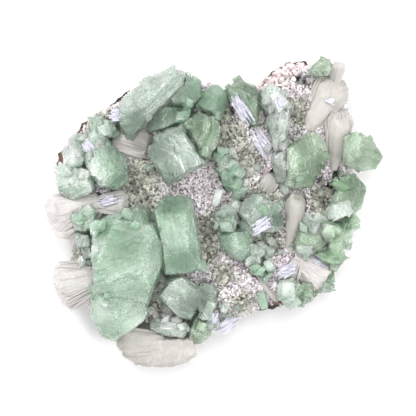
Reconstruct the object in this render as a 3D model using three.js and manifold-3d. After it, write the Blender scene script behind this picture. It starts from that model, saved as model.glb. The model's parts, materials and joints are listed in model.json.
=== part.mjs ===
// Apophyllite on heulandite: a cabinet specimen. A plate of dark basalt, cut flat underneath, carries a
// druse of heulandite, and on it stand blocky apophyllite crystals and fans of stilbite.
// Millimetres, +Z up. The origin is under the middle of the specimen, on the cut face.
import * as THREE from 'three';
import { mergeVertices } from 'three/addons/utils/BufferGeometryUtils.js';
import Module from 'manifold-3d';

const wasm = await Module();
wasm.setup();

// ---------------------------------------------------------------- driving dimensions

const GAP = 0.35; // clearance between pieces that touch
const CRUST = 6.2; // usual thickness of the druse
const RIM_STEPS = 50; // points around the plate
const RIM_TOP = 17; // height of the druse where it rolls over at the rim
const PLATE_TOP = 21.3; // height of the basalt under the druse, inside the rim
const CRUST_FOOT = 9; // height where the druse ends on the side of the plate
const CRUST_INSET = 0.5; // how far the druse stays inside the outline
const FOOT_INSET = 6; // how far the cut face draws in from the outline
const CRUST_SKIN = 3.2; // thickness of the druse on the side of the plate
const ROLL_START = 0.96; // fraction of the rim where the druse begins to roll over the edge
const TOP_RINGS = [0.18, 0.36, 0.52, 0.66, 0.79, 0.9, 0.97]; // rings of the druse's top
const UNDER_RINGS = [0.985, 0.92]; // rings of the face between druse and basalt
const VUG_DEPTH = 7; // how deep the open pockets reach
const ROOT = 4; // how deep a crystal is rooted below the druse around it
const WAIST = 0.45; // share of a crystal's height below which its sides are upright

// Outline of the plate, seen from above, anticlockwise from the right.
const OUTLINE = [
  [60, -1], [61, 8], [61.5, 16], [60.5, 26], [60, 36], [58.5, 47], [57, 56], [55, 62], [48, 64], [40, 67],
  [36, 68.5], [30.5, 65.5], [25, 61.5], [20, 56.5], [14, 52.5], [8, 51], [2, 55], [-6, 58], [-15, 59],
  [-24, 59], [-32, 57.5], [-39, 54.5], [-45, 50], [-51, 44.5], [-57.5, 41], [-62.5, 36.5], [-66.5, 30.5],
  [-72, 24.5], [-73, 20], [-69.5, 15], [-69, 8], [-67.5, 0], [-64, -9], [-64, -19], [-64.5, -28],
  [-61.5, -37], [-55, -44], [-50, -51.5], [-43, -57], [-35, -60], [-25, -60], [-13, -58], [-2, -54.5],
  [9, -49], [20, -44], [31, -43.5], [42, -41], [48.5, -36], [51.5, -29], [56, -22], [59, -11],
];

// Hummocks (+) and valleys (-) of the druse: centre x, y, radius, height.
const HUMMOCKS = [
  [-12, 13, 13, 3.2], [-34, 14, 10, -2.6], [-3, -9, 8, -4.5], [8, -33, 13, 1.8], [24, -30, 9, 2.4],
  [1, 37, 8, -3.0], [14, 33, 10, 1.6], [27, 59, 10, 3.2], [39, 52, 7, 2.2], [10, 12, 8, 2.0],
  [22, 6, 7, -2.4], [44, 2, 8, 2.6], [-48, 46, 9, 2.0], [-30, -49, 8, 1.5], [-62, 34, 7, 1.6],
  [-62, -20, 8, -2.2], [40, 24, 12, 1.5], [-20, 46, 12, 1.2], [-45, -20, 14, -1.0], [32, 44, 9, 1.4],
];

// Open pockets that reach the basalt: centre x, y, length, width, turn in degrees.
const VUGS = [
  [38, 58, 9, 5, 25], [53.5, 16.5, 9, 4.5, 70], [50, 10.5, 4.5, 3, 20], [12.5, 4, 6, 3.2, -20],
  [7.5, 43.5, 4.5, 3, 60], [45.5, 12.5, 3.6, 2.6, 0], [25.5, 32.5, 2.6, 2.4, 0],
];

// Places on the rim where the druse is missing and the basalt stands out: x, y, reach, how far out.
const BARE = [
  [-44, 52, 9, 3.2], [-61, 40, 7, 2.6], [-71, 24, 6, 1.6], [22, 60, 14, 2.6], [41, 67, 5, 2.4],
  [25, -44, 9, 2.4], [-14, -59, 5, 2.0], [46, -38, 5, 2.0], [-66, -19, 6, 1.8], [-57, -46, 4, 1.8],
];

// Colour, roughness and metalness of each mineral.
const LOOK = {
  basalt: { color: 0x3a332d, roughness: 0.9, metalness: 0 },
  heulandite: { color: 0xc9bfc2, roughness: 0.55, metalness: 0 },
  mint: { color: 0x9ccdb0, roughness: 0.18, metalness: 0, transparent: true, opacity: 0.8 },
  pale: { color: 0xcfe0d8, roughness: 0.25, metalness: 0, transparent: true, opacity: 0.85 },
  deep: { color: 0x74b391, roughness: 0.15, metalness: 0, transparent: true, opacity: 0.8 },
  stilbite: { color: 0xe9e4dc, roughness: 0.4, metalness: 0 },
};

// ---------------------------------------------------------------- crystals and sheaves

// An apophyllite block is a prism over an outline, closed by a top face at height top, tilted towards
// [azimuth, degrees], with its sides leaning in above the waist. Each cut is a face that takes off a
// corner: [azimuth, slope from level in degrees, depth below the outermost corner]. A slope over 90
// undercuts a crystal that stands out over the rim.
const APOPHYLLITES = [
  { name: 'apophyllite_great_cluster', look: 'mint', blocks: [
    { outline: [[-54, -8], [-45.5, -2], [-26, -5], [-21.5, -15], [-21.5, -21], [-29.5, -41], [-52.5, -36],
      [-54.5, -21]], top: 56, tilt: [70, 5], cuts: [[-72, 34, 7.5], [-10, 52, 5], [150, 52, 5]] },
    { outline: [[-43.5, -7], [-41, 0], [-34, 2.8], [-29.5, 0.5], [-27.5, -7]], top: 48, tilt: [80, 16],
      cuts: [[30, 58, 2], [140, 55, 2]] },
    { outline: [[-45, -25], [-32, -29], [-29.5, -44], [-30.5, -47], [-35.5, -51.5], [-44.5, -57.5],
      [-50, -55.5], [-55, -46], [-54.5, -33]], top: 48, tilt: [-70, 9],
      cuts: [[-150, 48, 7], [-40, 50, 5], [-140, 132, 5]] } ] },
  { name: 'apophyllite_tall_block', look: 'mint', blocks: [
    { outline: [[-27.5, 0], [-22, 6.5], [-12, 6.5], [-10, 4], [-5.5, -24.5], [-11.5, -27.5], [-22, -28]],
      top: 50, tilt: [10, 5], lean: 5, cuts: [[85, 48, 5], [-70, 42, 6], [5, 60, 3]] } ] },
  { name: 'apophyllite_lower_cube', look: 'pale', blocks: [
    { outline: [[-14.5, -28.5], [-4.5, -35], [-5.5, -39], [-11, -48], [-16.5, -46.5], [-25.5, -37.5],
      [-20.5, -30.5]], top: 44, tilt: [110, 13], cuts: [[-45, 45, 6], [-100, 50, 4]] },
    { outline: [[-7, -31.5], [-1, -31.5], [1, -36], [0.5, -41], [-3, -46.5], [-8, -44], [-9, -37]],
      top: 36, tilt: [20, 20], cuts: [[60, 50, 2]] } ] },
  { name: 'apophyllite_pale_cube', look: 'pale', blocks: [
    { outline: [[-15, 37.5], [-4, 21], [-19.5, 11.5], [-22.5, 13.5], [-29.5, 24], [-29.5, 27.5],
      [-21.5, 36.5]], top: 50, tilt: [-30, 12], lean: 7, cuts: [[190, 46, 8], [95, 50, 4]] } ] },
  { name: 'apophyllite_fractured_block', look: 'deep', blocks: [
    { outline: [[-15, 38.3], [-10, 42.5], [-7, 44.5], [0.5, 40], [2.5, 37], [1, 29.5], [-3, 22.5],
      [-4, 21]], top: 46, tilt: [-20, 16], cuts: [[80, 52, 3], [-15, 58, 4]] } ] },
  { name: 'apophyllite_striated_block', look: 'pale', blocks: [
    { outline: [[-37.5, 31.5], [-42.5, 37.5], [-42, 47], [-31.5, 58.5], [-19, 63.5], [-12.5, 61],
      [-13, 53], [-29, 39.5]], top: 49, tilt: [-45, 14], lean: 8,
      cuts: [[135, 50, 6], [-60, 62, 3], [200, 50, 5], [110, 138, 6]] } ] },
  { name: 'apophyllite_upper_green_block', look: 'mint', blocks: [
    { outline: [[-14, 60.5], [-6.5, 57.5], [-6, 50], [-9.5, 46], [-19, 46], [-21, 50]], top: 42,
      tilt: [40, 12], cuts: [[20, 50, 4], [75, 55, 3]] } ] },
  { name: 'apophyllite_top_round', look: 'mint', blocks: [
    { outline: [[-9, 46.5], [-7, 51], [-2, 56], [1.5, 55.8], [5, 52], [5.5, 48], [2.5, 40], [-6, 44.5]],
      top: 38, tilt: [60, 15], cuts: [[0, 55, 3], [120, 50, 3], [60, 60, 2]] } ] },
  { name: 'apophyllite_right_centre', look: 'deep', blocks: [
    { outline: [[31, 27.5], [40, 33.5], [44.5, 35], [49, 29.5], [49, 22.5], [45.5, 16.5], [42.5, 10.5],
      [34.5, 9.8], [31, 11]], top: 47, tilt: [165, 9], lean: 7,
      cuts: [[0, 50, 7], [60, 48, 6], [-80, 54, 5]] } ] },
  { name: 'apophyllite_right_edge_upper', look: 'deep', blocks: [
    { outline: [[56, 33], [62.5, 35.3], [69, 32.5], [74.5, 24.5], [71.5, 18.8], [64.5, 18], [57, 21]],
      top: 37, tilt: [20, 12], lean: 8, cuts: [[20, 52, 5], [110, 50, 4], [-50, 50, 4], [0, 132, 5.5], [75, 125, 4]] } ] },
  { name: 'apophyllite_right_edge_lower', look: 'deep', blocks: [
    { outline: [[55, 15], [62, 16.5], [67.5, 9.5], [64.5, 1], [60.5, -2.5], [52.5, -2], [50.5, 2]],
      top: 37, tilt: [30, 18], lean: 7, cuts: [[10, 55, 4], [75, 50, 4], [0, 132, 6]] } ] },
  { name: 'apophyllite_centre_egg', look: 'mint', blocks: [
    { outline: [[1, -11], [7, -7.5], [14, -8.5], [16.8, -13], [15.5, -20], [11.5, -22.5], [7, -20.5],
      [3, -16]], top: 41, tilt: [150, 12], lean: 12, cuts: [[-60, 50, 4], [20, 50, 4], [200, 58, 2]] },
    { outline: [[-0.5, -0.5], [6.5, 2.5], [10, -5], [8.5, -10.5], [1.5, -9.5]], top: 37, tilt: [160, 14],
      cuts: [[120, 52, 3]] } ] },
  { name: 'apophyllite_centre_wedge', look: 'pale', blocks: [
    { outline: [[16.5, 7.5], [20.5, 7.8], [28.8, 0.5], [30.5, -6.5], [25.5, -9.5], [15, -8.5], [9, 1.5]],
      top: 40, tilt: [-20, 13], cuts: [[150, 48, 5], [0, 55, 4]] } ] },
  { name: 'apophyllite_centre_lath', look: 'deep', blocks: [
    { outline: [[13, -23.5], [17.5, -17], [22, -20], [23.8, -26], [22.5, -31], [15.5, -28]], top: 34,
      tilt: [-60, 16], cuts: [[10, 55, 3]] } ] },
  { name: 'apophyllite_centre_left_pair', look: 'mint', blocks: [
    { outline: [[-0.5, 26], [3.5, 27.5], [7.5, 24], [6.8, 18.5], [1, 18]], top: 36, tilt: [150, 18],
      cuts: [[30, 52, 2]] },
    { outline: [[0, 19.5], [7.5, 20.3], [12, 12.5], [11, 7.8], [4.5, 8.5]], top: 35, tilt: [-30, 16],
      cuts: [[10, 55, 3], [-90, 50, 3]] } ] },
  { name: 'apophyllite_dark_top', look: 'deep', blocks: [
    { outline: [[4.8, 53.5], [10, 58.8], [18, 55.3], [19.5, 50], [19, 37.5], [15.5, 37], [7, 48]], top: 40,
      tilt: [30, 10], lean: 7, cuts: [[215, 46, 5], [90, 50, 4]] } ] },
  { name: 'apophyllite_pale_column', look: 'pale', blocks: [
    { outline: [[19.8, 53.5], [25.5, 55.5], [32, 52.5], [31, 44.5], [23, 43.5], [20, 46.5]], top: 41,
      tilt: [100, 12], cuts: [[-80, 50, 3]] },
    { outline: [[23, 46], [33, 46], [33, 38], [28.5, 22.5], [25.5, 26], [22.8, 38]], top: 39,
      tilt: [-90, 10], lean: 9, cuts: [[-60, 52, 4], [180, 54, 3]] } ] },
  { name: 'apophyllite_grey_flank', look: 'pale', blocks: [
    { outline: [[25.5, 24], [32.5, 28.3], [33.5, 13.5], [27, 12.5]], top: 38, tilt: [180, 18],
      cuts: [[200, 55, 3]] } ] },
  { name: 'apophyllite_top_right_tip', look: 'deep', blocks: [
    { outline: [[39.5, 60.3], [47.5, 68.8], [51, 67.5], [52, 62.5], [50.5, 60], [44, 59.5]], top: 35,
      tilt: [120, 20], lean: 10, cuts: [[60, 50, 3], [80, 132, 4]] } ] },
  { name: 'apophyllite_left_round', look: 'pale', blocks: [
    { outline: [[-67.5, 26.5], [-63, 30.5], [-58, 29], [-56, 22.5], [-60, 18.5], [-67, 19.5]], top: 37,
      tilt: [140, 14], lean: 12, cuts: [[60, 50, 3], [-60, 50, 3], [180, 52, 3], [170, 132, 4]] } ] },
  { name: 'apophyllite_left_olive_block', look: 'mint', blocks: [
    { outline: [[-57.5, 29], [-49, 33.8], [-39.5, 23.5], [-38.5, 13.5], [-43, 9.5], [-51.5, 10.5],
      [-57, 19]], top: 43, tilt: [200, 9], lean: 8, cuts: [[40, 46, 7], [-40, 50, 5]] },
    { outline: [[-70.3, 15.5], [-64.5, 20], [-54, 18.5], [-53, 8], [-62, 5], [-69.5, 7.5]], top: 38,
      tilt: [190, 15], lean: 8, cuts: [[150, 50, 4], [-110, 50, 4], [180, 132, 4]] } ] },
  { name: 'apophyllite_left_lower_block', look: 'mint', blocks: [
    { outline: [[-63, -2.5], [-58, 1.5], [-52.5, 0], [-52, -6.5], [-57, -9.8], [-62.5, -8.8]], top: 37,
      tilt: [170, 14], lean: 9, cuts: [[110, 50, 3], [200, 52, 3]] } ] },
  { name: 'apophyllite_left_small_pair', look: 'pale', blocks: [
    { outline: [[-62.5, -9.5], [-55.5, -10], [-55, -16], [-61.5, -16.5]], top: 33, tilt: [190, 16],
      cuts: [[150, 52, 2]] },
    { outline: [[-60, -15.5], [-54.8, -15.5], [-54.8, -21], [-58.5, -21.5]], top: 31, tilt: [230, 14],
      cuts: [[200, 52, 2]] } ] },
  { name: 'apophyllite_upper_left_pair', look: 'mint', blocks: [
    { outline: [[-56.3, 41.5], [-50, 42.3], [-48.5, 35], [-55, 33.5]], top: 33, tilt: [130, 16],
      cuts: [[100, 52, 2]] },
    { outline: [[-49.8, 40.8], [-43.8, 39.5], [-43.2, 32.2], [-49, 32.5]], top: 35, tilt: [20, 12],
      cuts: [[-30, 52, 2]] } ] },
  { name: 'apophyllite_lower_right_olive', look: 'deep', blocks: [
    { outline: [[37, -8.5], [45.5, -10.5], [49.8, -13.5], [47.5, -18], [39.5, -20.5], [34.5, -14.5]],
      top: 38, tilt: [200, 12], lean: 9, cuts: [[20, 50, 4], [-90, 50, 4]] } ] },
  { name: 'apophyllite_right_fractured', look: 'mint', blocks: [
    { outline: [[45.5, -5.5], [55, -3.6], [61.8, -8.5], [59.5, -16.8], [50.8, -15.5], [46, -10.5]],
      top: 36, tilt: [30, 16], lean: 9, cuts: [[45, 52, 4], [150, 52, 3]] } ] },
  { name: 'apophyllite_corner_tip', look: 'deep', blocks: [
    { outline: [[48.5, -20], [55.5, -16.8], [57.3, -21.5], [54, -27.3], [50, -27]], top: 33,
      tilt: [-40, 20], lean: 10, cuts: [[-10, 52, 3]] } ] },
  { name: 'apophyllite_bottom_right_greens', look: 'deep', blocks: [
    { outline: [[26.5, -31], [34, -28.5], [40, -33.5], [39, -41.5], [30.5, -41]], top: 32,
      tilt: [-100, 16], lean: 9, cuts: [[180, 52, 3], [-70, 50, 3]] },
    { outline: [[37.5, -31], [43.3, -31.5], [42.8, -39.5], [38.5, -43]], top: 31, tilt: [-20, 18],
      cuts: [[-60, 50, 2]] } ] },
  { name: 'apophyllite_bottom_olive_tip', look: 'deep', blocks: [
    { outline: [[-11.5, -50.5], [-1.5, -49.5], [-2.2, -55], [-8, -60.3], [-12, -57]], top: 29,
      tilt: [-60, 18], lean: 9, cuts: [[-90, 52, 3], [60, 52, 3], [-90, 132, 4]] } ] },
  { name: 'apophyllite_bottom_glassy', look: 'pale', blocks: [
    { outline: [[-8.5, -46.5], [-3.5, -44.5], [1.5, -45.5], [3, -52], [-4.5, -53.5], [-9, -51]], top: 31,
      tilt: [-30, 14], lean: 9, cuts: [[120, 50, 2]] },
    { outline: [[1, -47.5], [8.5, -46.5], [8.5, -49.8], [3.5, -53]], top: 28, tilt: [-50, 18],
      cuts: [[100, 50, 1.5]] } ] },
  { name: 'apophyllite_behind_cube', look: 'mint', blocks: [
    { outline: [[-29.5, 39], [-23, 46], [-12.5, 47], [-9.5, 44], [-14.5, 37], [-22, 36], [-29.5, 33]],
      top: 39, tilt: [120, 12], cuts: [[170, 50, 4], [70, 52, 3]] } ] },
  { name: 'apophyllite_pearly_tablet', look: 'pale', blocks: [
    { outline: [[-46.5, 41], [-44.5, 46], [-39.5, 45], [-39.5, 38.5], [-45.5, 38]], top: 36,
      tilt: [130, 22], cuts: [[60, 50, 1.5]] } ] },
  { name: 'apophyllite_corner_spike', look: 'mint', blocks: [
    { outline: [[47, -30.5], [51, -31], [53.8, -35.8], [47, -36.5]], top: 28, tilt: [-30, 24], lean: 9,
      cuts: [[-40, 55, 1.5], [-40, 130, 3]] } ] },
  { name: 'apophyllite_bottom_frosted', look: 'pale', blocks: [
    { outline: [[-29, -47.5], [-17.5, -47.8], [-11.5, -51], [-14, -56.5], [-23, -56], [-29.5, -52.5]],
      top: 33, tilt: [-110, 12], lean: 10, cuts: [[120, 50, 3]] } ] },
];

// A stilbite fan spreads from a narrow waist to a broad rounded end. Its lobes are given as
// from, to (x, y, lift above the druse), width at each, thickness, and roll about its length in degrees.
const STILBITES = [
  { name: 'stilbite_bow_tie_left', lobes: [
    { from: [-50, 5, 4.5], to: [-72, -5.5, 5], widths: [7, 22], thick: 8, roll: 8 },
    { from: [-54, 4, 5], to: [-38.8, 3.4, 5.5], widths: [6, 9.5], thick: 7, roll: -8 } ] },
  { name: 'stilbite_upper_right_sheaf', lobes: [
    { from: [41, 37.5, 2], to: [54, 57, 6], widths: [7, 17], thick: 12, roll: -10 } ] },
  { name: 'stilbite_right_sheaf', lobes: [
    { from: [52, 21, 1.5], to: [54.5, 45.5, 8], widths: [3.5, 14], thick: 10, roll: 10 } ] },
  { name: 'stilbite_bottom_shell', lobes: [
    { from: [-25, -49, 2], to: [-28, -68, 5], widths: [24, 33], thick: 12, roll: 0 },
    { from: [-24, -58, 7], to: [-43.5, -57, 9.5], widths: [6, 10], thick: 9, roll: 12 } ] },
  { name: 'stilbite_lower_left_fan', lobes: [
    { from: [-53.5, -30, 2], to: [-70.5, -34, 4], widths: [8, 21], thick: 9, roll: 10 } ] },
  { name: 'stilbite_grey_fan', lobes: [
    { from: [-27.5, 27.5, 1], to: [-45.5, 33, 5], widths: [13, 11], thick: 9, roll: -12 } ] },
  { name: 'stilbite_club', lobes: [
    { from: [32.7, -16.5, 1], to: [36.2, 7.5, 4.5], widths: [4.5, 10.5], thick: 9, roll: 0 } ] },
  { name: 'stilbite_lower_right_fan', lobes: [
    { from: [36, -21.5, 3], to: [48.6, -29.5, 5.5], widths: [5, 15], thick: 9, roll: -10 },
    { from: [37, -21, 3], to: [33, -29.5, 4], widths: [5, 8], thick: 8, roll: 0 } ] },
  { name: 'stilbite_centre_wedge', lobes: [
    { from: [30.5, 21, 2], to: [22, 9.5, 2.5], widths: [4, 10], thick: 7, roll: 8 } ] },
  { name: 'stilbite_top_right_tip', lobes: [
    { from: [52.8, 56, 1], to: [55.3, 66, 8], widths: [3, 6.5], thick: 6, roll: 0 } ] },
  { name: 'stilbite_long_lath', lobes: [
    { from: [18.8, -28.5, 0.8], to: [28, -41.3, 3], widths: [2, 2.8], thick: 3.5, roll: 0 } ] },
];

// ---------------------------------------------------------------- solids

const rad = THREE.MathUtils.degToRad;

// A closed geometry as a solid.
function solidOf(geometry) {
  const bare = geometry.clone();
  bare.deleteAttribute('normal');
  bare.deleteAttribute('uv');
  const merged = mergeVertices(bare, 1e-4);
  return new wasm.Manifold(new wasm.Mesh({
    numProp: 3,
    vertProperties: new Float32Array(merged.attributes.position.array),
    triVerts: new Uint32Array(merged.index.array),
  }));
}

// A solid as a flat-shaded geometry.
function geometryOf(solid) {
  const { vertProperties, triVerts } = solid.getMesh();
  const geometry = new THREE.BufferGeometry();
  geometry.setAttribute('position', new THREE.BufferAttribute(vertProperties, 3));
  geometry.setIndex(new THREE.BufferAttribute(triVerts, 1));
  const flat = geometry.toNonIndexed();
  flat.computeVertexNormals();
  return flat;
}

// The biggest of the bodies that a cut leaves.
function largest(solid) {
  return solid.decompose().sort((a, b) => b.volume() - a.volume())[0];
}

// A solid swollen by the gap on all sides, about the middle of its box.
function swollen(solid) {
  const { min, max } = solid.boundingBox();
  const middle = min.map((low, i) => (low + max[i]) / 2);
  const scale = min.map((low, i) => 1 + (2 * GAP) / (max[i] - low));
  return solid.translate(middle.map((m) => -m)).scale(scale).translate(middle);
}

// ---------------------------------------------------------------- the ground

const rim = new THREE.CatmullRomCurve3(OUTLINE.map(([x, y]) => new THREE.Vector3(x, y, 0)), true)
  .getSpacedPoints(RIM_STEPS).slice(0, RIM_STEPS);

// 1 in the middle of a round patch, falling smoothly to 0.
const patch = (x, y, cx, cy, radius) => Math.exp(-(((x - cx) ** 2 + (y - cy) ** 2) / radius ** 2));

// Extra thickness of the druse at a place.
const hummock = (x, y) => HUMMOCKS.reduce((sum, [cx, cy, r, h]) => sum + h * patch(x, y, cx, cy, r), 0);

// How far the basalt stands out of the druse at a place on the rim.
const bare = (x, y) => Math.max(...BARE.map(([cx, cy, r, out]) => out * patch(x, y, cx, cy, r)));

// Small waviness of the broken side of the plate.
const ragged = (i) => Math.sin(i * 1.9) * 0.5 + Math.sin(i * 3.7 + 1) * 0.35;

// Heights of the basalt and of the druse, at a fraction t of the way from the middle to the rim.
const basaltTop = (t) => RIM_TOP - CRUST + (PLATE_TOP - RIM_TOP + CRUST) * Math.sqrt(1 - t ** 5);
const crustTop = (x, y, t) => basaltTop(t) + CRUST + hummock(x, y) * (1 - t ** 6);

// Height of the druse at a place, which may lie a little outside the rim.
function ground(x, y) {
  const direction = new THREE.Vector3(x, y, 0).normalize();
  const nearest = rim.reduce((best, p) => {
    const facing = (q) => q.dot(direction) / q.length();
    return facing(p) > facing(best) ? p : best;
  });
  return crustTop(x, y, Math.min(Math.hypot(x, y) / nearest.length(), ROLL_START));
}

// One ring of points around the plate, at a fraction t of the rim, drawn in by some millimetres.
function ring(t, inset, height) {
  return rim.map((p, i) => {
    const k = t * (1 - inset(p, i) / p.length());
    return new THREE.Vector3(p.x * k, p.y * k, height(p.x * k, p.y * k, i));
  });
}

// A closed skin over rings that run from a point on the axis, out over the top, and back under.
function skin(top, rings, bottom) {
  const index = [];
  const last = rings.length - 1;
  const at = (r, i) => 1 + r * RIM_STEPS + (i % RIM_STEPS);
  for (let i = 0; i < RIM_STEPS; i += 1) {
    index.push(0, at(0, i), at(0, i + 1));
    for (let r = 0; r < last; r += 1) {
      index.push(at(r, i), at(r + 1, i), at(r + 1, i + 1));
      index.push(at(r, i), at(r + 1, i + 1), at(r, i + 1));
    }
    index.push(at(last, i + 1), at(last, i), 1 + rings.length * RIM_STEPS);
  }
  const geometry = new THREE.BufferGeometry().setFromPoints([top, ...rings.flat(), bottom]);
  geometry.setIndex(index);
  return solidOf(geometry);
}

// Where the basalt is bare the druse stops short of the outline.
const crustInset = (p) => (bare(p.x, p.y) > 0.7 ? bare(p.x, p.y) : CRUST_INSET);
const wallInset = (p) => crustInset(p) + CRUST_SKIN;

// The druse: a rough layer over the top, rolled over the rim and part of the way down the side.
function makeCrust() {
  const foot = (x, y, i) => CRUST_FOOT + ragged(i);
  return skin(new THREE.Vector3(0, 0, crustTop(0, 0, 0)), [
    ...TOP_RINGS.map((t) => ring(t, crustInset, (x, y) => crustTop(x, y, t))),
    ring(1, crustInset, (x, y, i) => RIM_TOP - 1 + ragged(i)),
    ring(1, (p, i) => crustInset(p) - 0.5 + ragged(i), () => (RIM_TOP + CRUST_FOOT) / 2),
    ring(1, (p) => crustInset(p) + 0.6, foot),
    ring(1, wallInset, foot),
    ...UNDER_RINGS.map((t) => ring(t, wallInset, () => basaltTop(t))),
  ], new THREE.Vector3(0, 0, basaltTop(0)));
}

// The basalt: under the druse, standing out where it is bare, and drawn in to the cut face.
function makeBasalt() {
  const inside = (p) => wallInset(p) + GAP;
  return skin(new THREE.Vector3(0, 0, basaltTop(0) - GAP), [
    ...UNDER_RINGS.toReversed().map((t) => ring(t, inside, () => basaltTop(t) - GAP)),
    ring(1, inside, (x, y, i) => CRUST_FOOT - 2 * GAP + ragged(i)),
    ring(1, (p) => (bare(p.x, p.y) > 0.7 ? -0.5 : 2.6), (x, y, i) => CRUST_FOOT - 1.6 + ragged(i)),
    ring(1, (p, i) => 2 + ragged(i), () => CRUST_FOOT / 2),
    ring(1, () => FOOT_INSET, () => 0),
  ], new THREE.Vector3(0, 0, 0));
}

// An open pocket through the druse.
function vug([x, y, length, width, turn]) {
  const pit = new THREE.SphereGeometry(1, 7, 5);
  pit.rotateX(Math.PI / 2);
  pit.scale(length / 2, width / 2, VUG_DEPTH);
  pit.rotateZ(rad(turn));
  pit.translate(x, y, ground(x, y));
  return solidOf(pit);
}

// ---------------------------------------------------------------- crystals

// Cuts off what lies outside the plane with this outward normal and distance.
const trim = (solid, normal, distance) => solid.trimByPlane(normal.toArray().map((v) => -v), -distance);

// A unit normal leaning from straight up towards an azimuth.
const leaning = (azimuth, slope) => new THREE.Vector3(
  Math.sin(rad(slope)) * Math.cos(rad(azimuth)),
  Math.sin(rad(slope)) * Math.sin(rad(azimuth)),
  Math.cos(rad(slope)),
);

// How far a solid reaches along a direction.
function support(solid, normal) {
  const { vertProperties } = solid.getMesh();
  let most = -Infinity;
  for (let i = 0; i < vertProperties.length; i += 3) {
    most = Math.max(most, normal.dot(new THREE.Vector3().fromArray(vertProperties, i)));
  }
  return most;
}

function block({ outline, top, tilt, lean = 5, cuts }) {
  const corners = outline.map(([x, y]) => new THREE.Vector2(x, y));
  const middle = corners.reduce((sum, c) => sum.add(c), new THREE.Vector2()).divideScalar(corners.length);
  const base = ground(middle.x, middle.y) - ROOT;
  const spare = 8;
  const prism = new THREE.ExtrudeGeometry(new THREE.Shape(corners), {
    depth: top + spare - base, bevelEnabled: false,
  });
  prism.translate(0, 0, base);
  const face = leaning(...tilt);
  let solid = trim(solidOf(prism), face, face.dot(new THREE.Vector3(middle.x, middle.y, top)));
  const waist = base + (top - base) * WAIST;
  const turn = THREE.ShapeUtils.isClockWise(corners) ? -1 : 1;
  corners.forEach((corner, i) => {
    const along = corners[(i + 1) % corners.length].clone().sub(corner).multiplyScalar(turn);
    const normal = leaning(THREE.MathUtils.radToDeg(Math.atan2(-along.x, along.y)), 90 - lean);
    solid = trim(solid, normal, normal.dot(new THREE.Vector3(corner.x, corner.y, waist)));
  });
  for (const [azimuth, slope, depth] of cuts) {
    const normal = leaning(azimuth, slope);
    solid = trim(solid, normal, support(solid, normal) - depth);
  }
  return solid;
}

// ---------------------------------------------------------------- stilbite fans

function lobe({ from, to, widths, thick, roll }) {
  const [start, end] = [from, to].map(([x, y, lift]) => new THREE.Vector3(x, y, ground(x, y) + lift - thick / 2));
  const length = start.distanceTo(end);
  const [narrow, broad] = widths.map((w) => w / 2);
  const bulge = Math.min(broad * 0.6, length * 0.3);
  const fan = new THREE.Shape();
  fan.moveTo(0, -narrow);
  fan.quadraticCurveTo(length * 0.45, -narrow * 1.1, length - bulge, -broad);
  fan.quadraticCurveTo(length * 1.02, -broad * 0.9, length, 0);
  fan.quadraticCurveTo(length * 1.02, broad * 0.9, length - bulge, broad);
  fan.quadraticCurveTo(length * 0.45, narrow * 1.1, 0, narrow);
  const bevel = Math.min(thick * 0.3, narrow * 0.5);
  const geometry = new THREE.ExtrudeGeometry(fan, {
    depth: thick - 2 * bevel, curveSegments: 2, bevelEnabled: true, bevelThickness: bevel,
    bevelSize: bevel, bevelOffset: -bevel, bevelSegments: 1,
  });
  geometry.translate(0, 0, bevel - thick / 2);
  const along = end.sub(start).normalize();
  const side = new THREE.Vector3(0, 0, 1).cross(along).normalize().applyAxisAngle(along, rad(roll));
  geometry.applyMatrix4(new THREE.Matrix4().makeBasis(along, side, along.clone().cross(side)));
  geometry.translate(start.x, start.y, start.z);
  return solidOf(geometry);
}

// ---------------------------------------------------------------- assembly

// What grew first keeps its shape: each later piece is cut back from the ones before it, and the
// druse and the basalt are socketed for them all.
const pieces = [
  ...APOPHYLLITES.map(({ name, look, blocks }) => ({ name, look, bodies: blocks.map(block) })),
  ...STILBITES.map(({ name, lobes }) => ({ name, look: 'stilbite', bodies: lobes.map(lobe) })),
];

let crust = makeCrust();
let basalt = makeBasalt();
for (const pocket of VUGS.map(vug)) {
  crust = crust.subtract(pocket);
}
const sockets = [];
const finished = [];
for (const { name, look, bodies } of pieces) {
  const whole = bodies.reduce((sum, body) => sum.add(body));
  finished.push({ name, look, solid: largest(sockets.reduce((rest, socket) => rest.subtract(socket), whole)) });
  const socket = bodies.map(swollen).reduce((sum, body) => sum.add(body));
  sockets.push(socket);
  crust = crust.subtract(socket);
  basalt = basalt.subtract(socket);
}
finished.unshift(
  { name: 'basalt_matrix', look: 'basalt', solid: largest(basalt) },
  { name: 'heulandite_crust', look: 'heulandite', solid: largest(crust) },
);

const specimen = new THREE.Group();
for (const { name, look, solid } of finished) {
  const mesh = new THREE.Mesh(geometryOf(solid), new THREE.MeshStandardMaterial(LOOK[look]));
  mesh.name = name;
  specimen.add(mesh);
}

// The origin goes under the middle of the whole specimen.
const middle = new THREE.Box3().setFromObject(specimen).getCenter(new THREE.Vector3());
specimen.position.set(-middle.x, -middle.y, 0);
const group = new THREE.Group();
group.add(specimen);

export default group;
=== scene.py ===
# %% [markdown]
# # Apophyllite on heulandite
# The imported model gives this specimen's solids: a basalt plate, a crust on it, blocky crystals and
# fans. Here each of them gets its finished surface, and what is too small for a solid is added:
# the grains of the druse, the blades of the fans, the small crystals between and on the large ones,
# and a few pearly flakes. The veils inside the clear crystals are drawn by their material.
# Everything is in metres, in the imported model's own frame, with +Z up.

# %% The frame
import json
import math

import bmesh
import bpy
import numpy as np
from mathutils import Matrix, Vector, noise
from mathutils.bvhtree import BVHTree


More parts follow.
